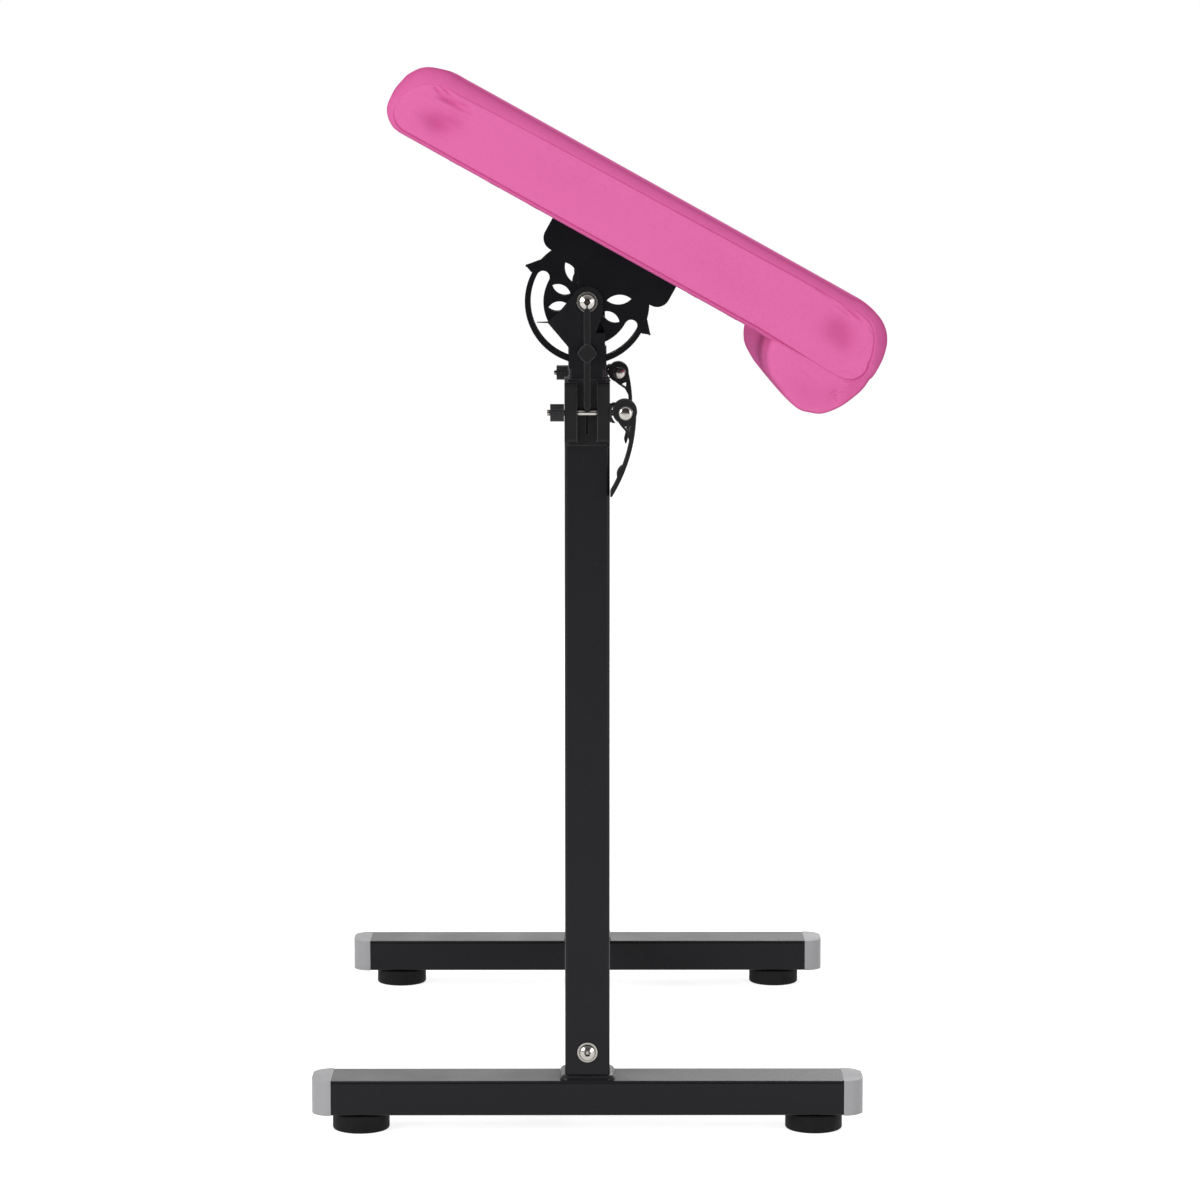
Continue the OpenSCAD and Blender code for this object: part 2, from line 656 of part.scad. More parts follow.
// The near fork's front leg: a wing with a pointer on the left, a notch on the right
module pointer_leg() difference() {
    union() {
        translate([-post_w / 2, -pivot_rise]) square([post_w, pivot_rise - wing_low_share * slot_r]);
        polygon(concat([for (p = wing_shares) p * slot_r], [[0, ear_top_r], [ear_top_r, 0]],
            [for (p = notch_shares) p * slot_r], [[post_w / 2, -pivot_rise]]));
        circle(r = ear_top_r);
    }
    circle(d = bolt_d + bore_gap);
    translate([0, -slot_r]) circle(d = bolt_d + bore_gap);
}
module fork_base() translate([0, 0, post_top])
    linear_extrude(fork_base_t) rounded(post_w, post_w, post_round);
module near_fork() color(steel_black) near_leg() {
    fork_base();
    translate([0, 0, pivot_z]) upright(-post_w / 2, fork_t) pointer_leg();
    translate([0, 0, pivot_z]) upright(fork_in, fork_t) difference() {
        plain_leg();
        circle(d = bolt_d + bore_gap);
        translate([0, -slot_r]) circle(d = bolt_d + bore_gap);
    }
}
module far_fork() color(steel_black) far_leg() {
    fork_base();
    for (y = [-post_w / 2, fork_in]) translate([0, 0, pivot_z]) upright(y, fork_t) difference() {
        plain_leg();
        circle(d = bolt_d + bore_gap);
    }
}

module pivot_bolts() color(bright_steel) both_legs() translate([0, -post_w / 2 - washer_t, pivot_z])
    button_bolt(bolt_d, post_w + 2 * washer_t + lock_nut_h + bolt_end);
module pivot_washers() color(bright_steel) both_legs() translate([0, 0, pivot_z]) {
    washer(-post_w / 2 - washer_t);
    washer(post_w / 2);
}
module pivot_nuts() color(bright_steel) both_legs()
    translate([0, post_w / 2 + washer_t, pivot_z]) difference() {
        rotate([-90, 0, 0]) cylinder(d = lock_nut_af / cos(30), h = lock_nut_h, $fn = 6);
        along_y(bolt_d + bore_gap / 2, -over, lock_nut_h + 2 * over);
    }
module lock_stud() color(bright_steel) near_leg() translate([0, 0, stud_z]) {
    along_y(stud_head_d, post_w / 2, stud_head_h);
    along_y(bolt_d, stud_y, post_w / 2 + stud_head_h - stud_y);
    along_y(stud_bush_d, -fork_in + run_gap, 2 * fork_in - 2 * run_gap);
}
module tilt_handle() color(plastic_black) near_leg() translate([0, 0, stud_z]) difference() {
    union() {
        along_y(handle_boss_d, handle_y, -post_w / 2 - run_gap - handle_y);
        upright(handle_y - handle_t, handle_t) {
            translate([-handle_w / 2, 0]) square([handle_w, handle_up - handle_w / 2]);
            translate([0, handle_up - handle_w / 2]) circle(d = handle_w);
            translate([-handle_w / 2, -handle_down + handle_w / 2]) square([handle_w, handle_down]);
            translate([0, -handle_down + handle_w / 2]) circle(d = handle_w);
        }
        upright(handle_y - handle_hub_t, handle_hub_t)
            rotate(45) rounded(handle_hub, handle_hub, handle_w / 2);
    }
    along_y(bolt_d + bore_gap, handle_y - handle_t, -handle_y + handle_t);
}

// Tilt brackets, in the pad's own frame: x along the pad, z up from the pivot
module leaf(l, w) let (r = (l * l + w * w) / (4 * w)) intersection() {
    translate([0, r - w / 2]) circle(r = r);
    translate([0, w / 2 - r]) circle(r = r);
}
module arc_slot() {
    difference() {
        circle(r = slot_r + slot_w / 2);
        circle(r = disc_r);
        translate([-rim_r, 0]) square([2 * rim_r, rim_r]);
    }
    for (x = [-1, 1]) translate([x * slot_r, 0]) circle(d = slot_w);
}
module skirt() {
    translate([-skirt_w / 2, pad_rise - skirt_h + skirt_round]) square([skirt_w, skirt_h - skirt_round]);
    translate([-skirt_w / 2 + skirt_round, pad_rise - skirt_h])
        square([skirt_w - 2 * skirt_round, skirt_h]);
    for (x = [-1, 1]) translate([x * (skirt_w / 2 - skirt_round), pad_rise - skirt_h + skirt_round])
        circle(r = skirt_round);
}
module tilt_plate() difference() {
    union() {
        circle(r = rim_r);
        skirt();
        for (side = [0, 1]) mirror([side, 0]) {
            polygon([for (p = barb_shares) p * rim_r]);
            translate(barb_shares[1] * rim_r - [barb_tip_r, 0]) circle(r = barb_tip_r);
        }
    }
    arc_slot();
    translate([-rim_r, pad_rise]) square([2 * rim_r, rim_r]);
    circle(d = bolt_d + bore_gap);
    for (side = [0, 1], f = leaf_shares) mirror([side, 0]) rotate(f[0])
        translate([disc_r * (f[1] + f[2]) / 2, 0]) leaf(disc_r * (f[2] - f[1]), disc_r * f[3]);
}
module plain_plate() difference() {
    union() {
        circle(r = plain_round);
        polygon([
            [-plain_round, 0], [plain_round, 0], [plain_top_w / 2, pad_rise], [-plain_top_w / 2, pad_rise]
        ]);
    }
    circle(d = bolt_d + bore_gap);
}
module flange() difference() {
    translate([-skirt_w / 2, -plate_y, pad_rise - flange_t]) cube([skirt_w, flange_d, flange_t]);
    for (x = [-1, 1], y = flange_y_shares)
        translate([x * flange_screw_x, y * flange_d - plate_y, pad_rise - flange_t - over])
            cylinder(d = flange_screw_d + bore_gap, h = flange_t + 2 * over);
}
module sleeve() difference() {
    along_y(sleeve_d, -plate_y + plate_t / 2, 2 * plate_y - plate_t);
    along_y(bolt_d + bore_gap, -plate_y - over, 2 * plate_y + 2 * over);
}
module near_tilt_bracket() color(steel_black) near_leg() pad_frame() {
    for (y = [-plate_y, plate_y - plate_t]) upright(y, plate_t) tilt_plate();
    flange();
    sleeve();
}
module far_tilt_bracket() color(steel_black) far_leg() pad_frame() {
    for (y = [-plate_y, plate_y - plate_t]) upright(y, plate_t) plain_plate();
    flange();
    sleeve();
}
module each_flange_hole() both_legs() pad_frame()
    for (x = [-1, 1], y = flange_y_shares)
        translate([x * flange_screw_x, y * flange_d - plate_y, 0]) children();
module flange_screws() color(bright_steel) each_flange_hole() {
    translate([0, 0, pad_rise - flange_t - flange_head_h]) cylinder(d = flange_head_d, h = flange_head_h);
    translate([0, 0, pad_rise - flange_t - flange_head_h])
        cylinder(d = flange_screw_d, h = flange_head_h + flange_t + cloth_t + board_t);
}
module board_nuts() color(bright_steel) each_flange_hole() difference() {
    union() {
        translate([0, 0, board_z + board_t]) cylinder(d = t_nut_d, h = t_nut_t);
        translate([0, 0, board_z + board_t - t_nut_barrel_h])
            cylinder(d = t_nut_barrel_d, h = t_nut_barrel_h);
    }
    translate([0, 0, board_z - over]) cylinder(d = flange_screw_d + bore_gap / 2, h = board_t + pad_t);
}

// The pad: board, cloth, cushion and bolster
module at_pad() stand() pad_frame() children();
module pad_board() color(plywood) difference() {
    at_pad() translate([pad_shift, 0, board_z]) linear_extrude(board_t)
        rounded(pad_l - 2 * board_end, pad_y - 2 * board_side, board_round);
    each_flange_hole() {
        translate([0, 0, board_z - over]) cylinder(d = flange_screw_d + bore_gap, h = board_t + 2 * over);
        translate([0, 0, board_z + board_t - t_nut_barrel_h - run_gap])
            cylinder(d = t_nut_barrel_d + bore_gap, h = board_t);
    }
}
module bottom_cloth() color(cloth_black) difference() {
    at_pad() translate([pad_x0 + board_end + cloth_inset, -pad_y / 2 + board_side + cloth_inset, pad_rise])
        cube([pad_l - bolster_w - board_end - 2 * cloth_inset,
            pad_y - 2 * board_side - 2 * cloth_inset, cloth_t]);
    each_flange_hole() translate([0, 0, pad_rise - over])
        cylinder(d = flange_screw_d + bore_gap, h = cloth_t + 2 * over);
}
module pad_cushion() color(vinyl_pink) at_pad() {
    half = edge_rings();
    rows = concat(
        [for (e = half) [e[0], -e[1]]],
        [for (y = run(half[len(half) - 1], [0, -half[len(half) - 1][1]], side_rows)) [0, -y[1]]],
        [for (i = [len(half) - 1:-1:0]) half[i]]);
    mid_z = (pad_z0 + pad_z1) / 2;
    difference() {
        loft([for (e = rows) [for (p = pad_ring(e[0])) pad_form(p, e[1])]],
            pad_form([pad_shift, mid_z], -pad_y / 2), pad_form([pad_shift, mid_z], pad_y / 2));
        translate([pad_shift - pocket_l / 2, -pocket_y / 2, pad_rise - pocket_gap])
            cube([pocket_l, pocket_y, board_t + cloth_t + t_nut_t + 2 * pocket_gap]);
    }
}
// One ring of the bolster: drawn in by share k, at y, slimmer by s on its free side
function bolster_ring(k, y, s) = let (
    middle = pad_x1 - bolster_w / 2)
    [for (p = bolster_outline()) let (
        q = bolster_mid + (p - bolster_mid) * (1 - k),
        t = max(0, (middle - q[0]) / (bolster_w / 2)))
        [q[0] + s * t, y, min(q[1], p[1])]];
module hand_bolster() color(vinyl_pink) at_pad() {
    h = bolster_y / 2;
    body_y = h - bolster_face_r;
    rows = concat(
        [for (e = bolster_end_shares) [e[0], -h + e[1] * bolster_face_r]],
        [for (i = [1:bolster_rows - 1]) [0, -body_y + 2 * body_y * i / bolster_rows]],
        [for (i = [len(bolster_end_shares) - 1:-1:0]) let (e = bolster_end_shares[i])
            [e[0], h - e[1] * bolster_face_r]]);
    loft([for (e = rows) bolster_ring(e[0], e[1], bolster_taper * pow((e[1] + h) / bolster_y, taper_power))],
        [bolster_mid[0], -h, bolster_mid[1]], [bolster_mid[0], h, bolster_mid[1]]);
}

near_foot_bar();
far_foot_bar();
bar_end_caps();
rubber_feet();
foot_screws();
foot_nuts();
near_column();
far_column();
column_welds();
crossbar();
crossbar_inserts();
crossbar_bolts();
crossbar_washers();
near_collar();
far_collar();
near_skewer();
far_skewer();
cam_cups();
cam_pins();
near_clamp_lever();
far_clamp_lever();
near_clamp_nut();
far_clamp_nut();
near_post();
far_post();
post_glides();
near_fork();
far_fork();
pivot_bolts();
pivot_washers();
pivot_nuts();
lock_stud();
tilt_handle();
near_tilt_bracket();
far_tilt_bracket();
flange_screws();
board_nuts();
pad_board();
bottom_cloth();
pad_cushion();
hand_bolster();
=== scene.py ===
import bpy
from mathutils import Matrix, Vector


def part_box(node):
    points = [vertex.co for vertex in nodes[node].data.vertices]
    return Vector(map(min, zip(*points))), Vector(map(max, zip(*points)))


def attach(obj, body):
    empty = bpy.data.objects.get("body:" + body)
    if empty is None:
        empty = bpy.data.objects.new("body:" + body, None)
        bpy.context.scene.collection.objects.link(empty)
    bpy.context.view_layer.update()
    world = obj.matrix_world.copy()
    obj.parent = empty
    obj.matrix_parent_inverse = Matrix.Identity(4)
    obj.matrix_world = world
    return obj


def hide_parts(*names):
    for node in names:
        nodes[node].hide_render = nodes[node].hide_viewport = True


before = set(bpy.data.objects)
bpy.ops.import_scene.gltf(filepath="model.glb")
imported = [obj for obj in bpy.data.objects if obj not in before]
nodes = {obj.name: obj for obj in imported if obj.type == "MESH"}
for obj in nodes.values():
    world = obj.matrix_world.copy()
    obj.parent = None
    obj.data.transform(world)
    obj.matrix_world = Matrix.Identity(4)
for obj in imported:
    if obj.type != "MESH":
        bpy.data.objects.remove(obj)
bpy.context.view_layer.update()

import math

import bpy
import numpy as np
from mathutils import Vector, kdtree, noise

scene = bpy.context.scene

# the column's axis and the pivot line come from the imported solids
columnLow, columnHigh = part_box("near_column")
washerLow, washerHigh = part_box("pivot_washers")
axisX = (columnLow[0] + columnHigh[0]) / 2
pivotZ = (washerLow[2] + washerHigh[2]) / 2
slope = math.radians(29)
mm = 0.001


def padToRoom(points):
    # u along the pad's slope, y along the stand, w square to the pad, from the pivot line
    u, y, w = np.asarray(points, float).T
    return np.stack([axisX + u * math.cos(slope) + w * math.sin(slope), y,
                     pivotZ - u * math.sin(slope) + w * math.cos(slope)], 1)


def makePiece(name, points, faces, finish, body, smooth=True):
    mesh = bpy.data.meshes.new(name)
    mesh.from_pydata([tuple(p) for p in points], [], [tuple(f) for f in faces])
    mesh.validate()
    mesh.polygons.foreach_set("use_smooth", [smooth] * len(mesh.polygons))
    mesh.materials.append(finish)
    piece = bpy.data.objects.new(name, mesh)
    scene.collection.objects.link(piece)
    if body:
        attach(piece, body)
    return piece


# ---- node helpers
def feed(tree, socket, value):
    # links the output of another node, or sets a plain value
    if isinstance(value, bpy.types.NodeSocket):
        tree.links.new(value, socket)
    else:
        socket.default_value = value


def mathNode(tree, kind, first, second):
    node = tree.nodes.new("ShaderNodeMath")
    node.operation = kind
    feed(tree, node.inputs[0], first)
    feed(tree, node.inputs[1], second)
    return node.outputs[0]


def mixNode(tree, share, first, second):
    node = tree.nodes.new("ShaderNodeMix")
    for label, value in zip(("Factor", "A", "B"), (share, first, second)):
        feed(tree, node.inputs[label], value)
    return node.outputs["Result"]


def rangeNode(tree, value, low, high, outLow=0.0, outHigh=1.0):
    node = tree.nodes.new("ShaderNodeMapRange")
    labels = ("Value", "From Min", "From Max", "To Min", "To Max")
    for label, number in zip(labels, (value, low, high, outLow, outHigh)):
        feed(tree, node.inputs[label], number)
    return node.outputs["Result"]


def noiseNode(tree, place, scale, detail, roughness):
    node = tree.nodes.new("ShaderNodeTexNoise")
    labels = ("Vector", "Scale", "Detail", "Roughness")
    for label, value in zip(labels, (place, scale, detail, roughness)):
        feed(tree, node.inputs[label], value)
    return node.outputs["Fac"]


def objectPlace(tree, stretch=(1, 1, 1), turn=(0, 0, 0)):
    node = tree.nodes.new("ShaderNodeMapping")
    node.inputs["Scale"].default_value, node.inputs["Rotation"].default_value = stretch, turn
    tree.links.new(tree.nodes.new("ShaderNodeTexCoord").outputs["Object"], node.inputs["Vector"])
    return node.outputs[0]


# ---- camera, light and floor
cameraFit = dict(lens=115.41, sensor=36, fromAxis=1.07 * mm, y=-3.53126, z=0.81534,
                 pitch=math.pi / 2 - 0.111, yaw=-0.003, near=0.1, far=60)


def makeCamera():
    c = cameraFit
    data = bpy.data.cameras.new("studioCamera")
    data.lens, data.sensor_width = c["lens"], c["sensor"]
    data.clip_start, data.clip_end = c["near"], c["far"]
    camera = bpy.data.objects.new("studioCamera", data)
    camera.location = (axisX + c["fromAxis"], c["y"], c["z"])
    camera.rotation_euler = (c["pitch"], 0, c["yaw"])
    scene.collection.objects.link(camera)
    scene.camera = camera


light = dict(
    around=0.41,                        # even light on matt surfaces
    mirrorFront=0.05, mirrorBack=1.25,  # what gloss sees behind the camera and behind the stand
    mirrorTurn=(-0.95, -0.2),           # where it goes over from one to the other, along Y
    aim=(0, 0, 0.6),
    lamps=[
        # name, place, width, power
        ("frontLeft", (-2.4, -2.6, 1.6), 1.9, 59),
        ("frontRight", (2.3, -2.9, 1.0), 1.6, 27),
        ("overhead", (0.1, 0.3, 3.2), 1.8, 15),
        ("behind", (1.0, 3.2, 2.0), 1.6, 24),
    ])


def makeLight():
    world = bpy.data.worlds.new("studioRoom")
    scene.world = world
    world.use_nodes = True
    tree = world.node_tree
    tree.nodes.clear()
    split = tree.nodes.new("ShaderNodeSeparateXYZ")
    tree.links.new(tree.nodes.new("ShaderNodeTexCoord").outputs["Generated"], split.inputs[0])
    mirror = rangeNode(tree, split.outputs["Y"], *light["mirrorTurn"],
                       light["mirrorFront"], light["mirrorBack"])
    mirror.node.interpolation_type = "SMOOTHSTEP"
    path = tree.nodes.new("ShaderNodeLightPath").outputs
    room = mixNode(tree, path["Is Glossy Ray"], light["around"], mirror)
    seen = mathNode(tree, "MAXIMUM", path["Is Camera Ray"], path["Is Transmission Ray"])
    back, out = tree.nodes.new("ShaderNodeBackground"), tree.nodes.new("ShaderNodeOutputWorld")
    back.inputs["Color"].default_value = (1, 1, 1, 1)
    tree.links.new(mixNode(tree, seen, room, 1.0), back.inputs["Strength"])
    tree.links.new(back.outputs[0], out.inputs["Surface"])
    for name, place, width, power in light["lamps"]:
        data = bpy.data.lights.new(name, "AREA")
        data.shape, data.size, data.energy = "DISK", width, power
        lamp = bpy.data.objects.new(name, data)
        lamp.location = place
        lamp.rotation_euler = (Vector(light["aim"]) - Vector(place)).to_track_quat("-Z", "Y").to_euler()
        scene.collection.objects.link(lamp)


floorLook = dict(reach=9.0, shade=0.8, glow=0.78, roughness=0.9, specular=0.1)


def makeFloor():
    finish = bpy.data.materials.new("paleFloor")
    finish.use_nodes = True
    tree = finish.node_tree
    shader = tree.nodes["Principled BSDF"]
    shader.inputs["Base Color"].default_value = (floorLook["shade"],) * 3 + (1,)
    shader.inputs["Roughness"].default_value = floorLook["roughness"]
    shader.inputs["Specular IOR Level"].default_value = floorLook["specular"]
    shader.inputs["Emission Color"].default_value = (1, 1, 1, 1)
    path = tree.nodes.new("ShaderNodeLightPath").outputs
    seen = mathNode(tree, "MAXIMUM", path["Is Camera Ray"], path["Is Glossy Ray"])
    seen = mathNode(tree, "MAXIMUM", seen, path["Is Transmission Ray"])
    tree.links.new(mathNode(tree, "MULTIPLY", seen, floorLook["glow"]), shader.inputs["Emission Strength"])
    r = floorLook["reach"]
    floor = makePiece("studioFloor", [(-r, -r, 0), (r, -r, 0), (r, r, 0), (-r, r, 0)],
                      [(0, 1, 2, 3)], finish, None, smooth=False)


makeCamera()
makeLight()
makeFloor()
scene.view_settings.view_transform = "Standard"
print("camera, light and floor")


# ---- shared effects
def newGroup(name, inputs, outputs):
    group = bpy.data.node_groups.new(name, "ShaderNodeTree")
    for label, value in inputs.items():
        socket = group.interface.new_socket(label, in_out="INPUT", socket_type="NodeSocketFloat")
        socket.default_value = value
    for label in outputs:
        kind = "NodeSocketVector" if label == "Normal" else "NodeSocketFloat"
        group.interface.new_socket(label, in_out="OUTPUT", socket_type=kind)
    return group, group.nodes.new("NodeGroupInput").outputs, group.nodes.new("NodeGroupOutput").inputs


def makeEdgeCatch():
    # rounded-looking edges, and a mask of them
    group, given, out = newGroup("edgeCatch", dict(Radius=0.5 * mm), ["Normal", "Edge"])
    bevel, geometry = group.nodes.new("ShaderNodeBevel"), group.nodes.new("ShaderNodeNewGeometry")
    bevel.samples = 4
    group.links.new(given["Radius"], bevel.inputs["Radius"])
    same = group.nodes.new("ShaderNodeVectorMath")
    same.operation = "DOT_PRODUCT"
    group.links.new(bevel.outputs[0], same.inputs[0])
    group.links.new(geometry.outputs["Normal"], same.inputs[1])
    group.links.new(bevel.outputs[0], out["Normal"])
    group.links.new(rangeNode(group, same.outputs["Value"], low=0.99, high=0.86), out["Edge"])
    return group


def makeCreviceShade():
    # how closed in a place is, for painted shade in joints and sockets
    group, given, out = newGroup("crevice", dict(Reach=2.0 * mm), ["Crevice"])
    nearby = group.nodes.new("ShaderNodeAmbientOcclusion")
    nearby.samples = 12
    group.links.new(given["Reach"], nearby.inputs["Distance"])
    shadeMask = rangeNode(group, nearby.outputs["AO"], low=0.6, high=0.97, outLow=1.0, outHigh=0.0)
    group.links.new(shadeMask, out["Crevice"])
    return group


def makeUneven():
    # slow cloudy change between two values, such as handling marks in a gloss
    group, given, out = newGroup("uneven", dict(Scale=20.0, Low=0.4, High=0.5), ["Value"])
    cloud = noiseNode(group, objectPlace(group), given["Scale"], detail=4, roughness=0.6)
    value = rangeNode(group, cloud, low=0.35, high=0.65, outLow=given["Low"], outHigh=given["High"])
    group.links.new(value, out["Value"])
    return group


def makeOrangePeel():
    # the ripple of sprayed powder, with paler flecks
    group, given, out = newGroup("orangePeel", dict(Scale=700.0), ["Height", "Fleck"])
    place = objectPlace(group)
    peel = noiseNode(group, place, given["Scale"], detail=3, roughness=0.55)
    finer = mathNode(group, "MULTIPLY", given["Scale"], 3.1)
    fine = noiseNode(group, place, finer, detail=1, roughness=0.5)
    ripple = mathNode(group, "MULTIPLY", fine, 0.35)
    group.links.new(mathNode(group, "ADD", peel, ripple), out["Height"])
    group.links.new(rangeNode(group, fine, low=0.62, high=0.74), out["Fleck"])
    return group


def makePebble():
    # small rounded cells, as in pressed vinyl or moulded plastic
    group, given, out = newGroup("pebbleGrain", dict(Scale=900.0), ["Height", "Hollow"])
    place = objectPlace(group)
    cells = group.nodes.new("ShaderNodeTexVoronoi")
    cells.feature = "SMOOTH_F1"
    for label, value in (("Vector", place), ("Scale", given["Scale"]), ("Smoothness", 0.6)):
        feed(group, cells.inputs[label], value)
    coarser = mathNode(group, "MULTIPLY", given["Scale"], 0.27)
    wander = noiseNode(group, place, coarser, detail=2, roughness=0.5)
    domed = rangeNode(group, cells.outputs["Distance"], low=0.0, high=0.75, outLow=1.0, outHigh=0.0)
    height = mathNode(group, "ADD", domed, mathNode(group, "MULTIPLY", wander, 0.6))
    group.links.new(height, out["Height"])
    group.links.new(rangeNode(group, cells.outputs["Distance"], low=0.35, high=0.8), out["Hollow"])
    return group


def makeWeave():
    # threads across and along, with the gaps between them
    group, given, out = newGroup("plainWeave", dict(Scale=600.0), ["Height", "Gap"])
    threads = []
    for direction in ("X", "Y"):
        wave = group.nodes.new("ShaderNodeTexWave")
        wave.wave_type, wave.bands_direction, wave.wave_profile = "BANDS", direction, "SIN"
        values = dict(Vector=objectPlace(group), Scale=given["Scale"], Distortion=0.6, Detail=1)
        for label, value in values.items():
            feed(group, wave.inputs[label], value)
        threads.append(wave.outputs["Fac"])
    height = mathNode(group, "MAXIMUM", *threads)
    group.links.new(height, out["Height"])
    gap = rangeNode(group, height, low=0.3, high=0.9, outLow=1.0, outHigh=0.0)
    group.links.new(gap, out["Gap"])
    return group


def makeFineLines():
    # turning or brushing marks
    group, given, out = newGroup("fineLines", dict(Scale=60.0), ["Height", "Mark"])
    place = objectPlace(group, stretch=(1, 22, 1))
    lines = noiseNode(group, place, given["Scale"], detail=4, roughness=0.7)
    group.links.new(lines, out["Height"])
    group.links.new(rangeNode(group, lines, low=0.38, high=0.62), out["Mark"])
    return group


edgeCatch, crevice, uneven, orangePeel = makeEdgeCatch(), makeCreviceShade(), makeUneven(), makeOrangePeel()
pebbleGrain, plainWeave, fineLines = makePebble(), makeWeave(), makeFineLines()


def toLinear(rgb):
    return [c / 12.92 if c <= 0.04045 else ((c + 0.055) / 1.055) ** 2.4
            for c in (v / 255 for v in rgb)]


def useGroup(tree, group, **values):
    node = tree.nodes.new("ShaderNodeGroup")
    node.node_tree = group
    for label, value in values.items():
        node.inputs[label].default_value = value
    return node.outputs


def cloudy(tree, look):
    # look gives the scale of the clouds and the two values they lie between
    scale, low, high = look
    return useGroup(tree, uneven, Scale=scale, Low=low, High=high)["Value"]


def newFinish(name, look, **shaderValues):
    # plain colour, with an uneven gloss
    finish = bpy.data.materials.new(name)
    finish.use_nodes = True
    tree = finish.node_tree
    shader = tree.nodes["Principled BSDF"]
    colour = (*toLinear(look["colour"]), 1)
    shader.inputs["Base Color"].default_value = finish.diffuse_color = colour
    for label, value in shaderValues.items():
        shader.inputs[label.replace("_", " ")].default_value = value
    tree.links.new(cloudy(tree, look["gloss"]), shader.inputs["Roughness"])
    return finish, tree, shader


def tint(tree, shader, base, rgb, mask, share=1.0):
    # the base colour moves by a share from base towards rgb where the mask is 1
    mix = tree.nodes.new("ShaderNodeMix")
    mix.data_type = "RGBA"
    plain = not isinstance(base, bpy.types.NodeSocket)
    feed(tree, mix.inputs["Factor"], mathNode(tree, "MULTIPLY", mask, share))
    feed(tree, mix.inputs[6], (*toLinear(base), 1) if plain else base)
    feed(tree, mix.inputs[7], (*toLinear(rgb), 1))
    tree.links.new(mix.outputs[2], shader.inputs["Base Color"])
    return mix.outputs[2]


def bump(tree, shader, height, look, normal=None):
    # look gives the strength and the height of the relief
    node = tree.nodes.new("ShaderNodeBump")
    node.inputs["Strength"].default_value, node.inputs["Distance"].default_value = look["bump"]
    tree.links.new(height, node.inputs["Height"])
    if normal is not None:
        tree.links.new(normal, node.inputs["Normal"])
    tree.links.new(node.outputs[0], shader.inputs["Normal"])


# the edge colour is a painted highlight along the edges
steelPaint = dict(colour=(25, 25, 28), edgeHighlightColour=(62, 62, 66), fleckColour=(36, 36, 39), specular=0.15,
                  edge=0.6 * mm, edgeHighlightShare=0.4, peel=650.0, fleckShare=0.35,
                  gloss=(14.0, 0.24, 0.31), bump=(0.3, 0.05 * mm))
# a darker copy of the same paint: painted shade for the tilt brackets under the pad
shadedBracketPaint = dict(steelPaint, colour=(13, 13, 17))


def makeSteelPaint(name, look):
    # black powder coat: fine orange peel, edges a little lighter with a painted highlight
    finish, tree, shader = newFinish(name, look, Specular_IOR_Level=look["specular"])
    edge = useGroup(tree, edgeCatch, Radius=look["edge"])
    peel = useGroup(tree, orangePeel, Scale=look["peel"])
    flecked = tint(tree, shader, look["colour"], look["fleckColour"], peel["Fleck"], look["fleckShare"])
    # painted highlight on the edges
    tint(tree, shader, flecked, look["edgeHighlightColour"], edge["Edge"], look["edgeHighlightShare"])
    bump(tree, shader, peel["Height"], look, edge["Normal"])
    return finish


# the edge colour is a painted highlight along the edges
mouldedBlack = dict(colour=(17, 17, 19), edgeHighlightColour=(112, 112, 116), specular=0.22,
                    edge=0.9 * mm, edgeHighlightShare=0.55, grain=1500.0,
                    gloss=(30.0, 0.38, 0.5), bump=(0.25, 0.04 * mm))


def makeMouldedBlack(look):
    finish, tree, shader = newFinish("mouldedBlackPlastic", look, Specular_IOR_Level=look["specular"])
    edge = useGroup(tree, edgeCatch, Radius=look["edge"])
    grain = useGroup(tree, pebbleGrain, Scale=look["grain"])
    # painted highlight on the edges
    tint(tree, shader, look["colour"], look["edgeHighlightColour"], edge["Edge"], look["edgeHighlightShare"])
    bump(tree, shader, grain["Height"], look, edge["Normal"])
    return finish


footRubber = dict(colour=(19, 19, 20), dustColour=(42, 41, 40), specular=0.15,
                  edge=0.8 * mm, grain=1100.0, dust=(45.0, 0.0, 0.3),
                  gloss=(26.0, 0.6, 0.78), bump=(0.3, 0.05 * mm))


def makeFootRubber(look):
    finish, tree, shader = newFinish("footRubber", look, Specular_IOR_Level=look["specular"])
    edge = useGroup(tree, edgeCatch, Radius=look["edge"])
    grain = useGroup(tree, pebbleGrain, Scale=look["grain"])
    tint(tree, shader, look["colour"], look["dustColour"], cloudy(tree, look["dust"]))
    bump(tree, shader, grain["Height"], look, edge["Normal"])
    return finish


# the edge colour is a painted highlight along the edges
capPlastic = dict(colour=(168, 168, 170), edgeHighlightColour=(205, 205, 207), hollowColour=(150, 150, 152),
                  specular=0.45, edge=0.8 * mm, edgeHighlightShare=0.5, grain=1300.0, hollowShare=0.25,
                  gloss=(22.0, 0.42, 0.55), bump=(0.3, 0.05 * mm))


def makeCapPlastic(look):
    finish, tree, shader = newFinish("greyCapPlastic", look, Specular_IOR_Level=look["specular"])
    edge = useGroup(tree, edgeCatch, Radius=look["edge"])
    grain = useGroup(tree, pebbleGrain, Scale=look["grain"])
    grained = tint(tree, shader, look["colour"], look["hollowColour"], grain["Hollow"], look["hollowShare"])
    # painted highlight on the edges
    tint(tree, shader, grained, look["edgeHighlightColour"], edge["Edge"], look["edgeHighlightShare"])
    bump(tree, shader, grain["Height"], look, edge["Normal"])
    return finish


# the dark brown colour is painted shade for closed-in joints and sockets
brightSteel = dict(colour=(182, 179, 173), markColour=(150, 147, 142), jointColour=(44, 38, 34),
                   edge=0.3 * mm, lines=80.0, markShare=0.5, joint=2.6 * mm, jointShare=0.9,
                   gloss=(120.0, 0.13, 0.24), bump=(0.2, 0.03 * mm))


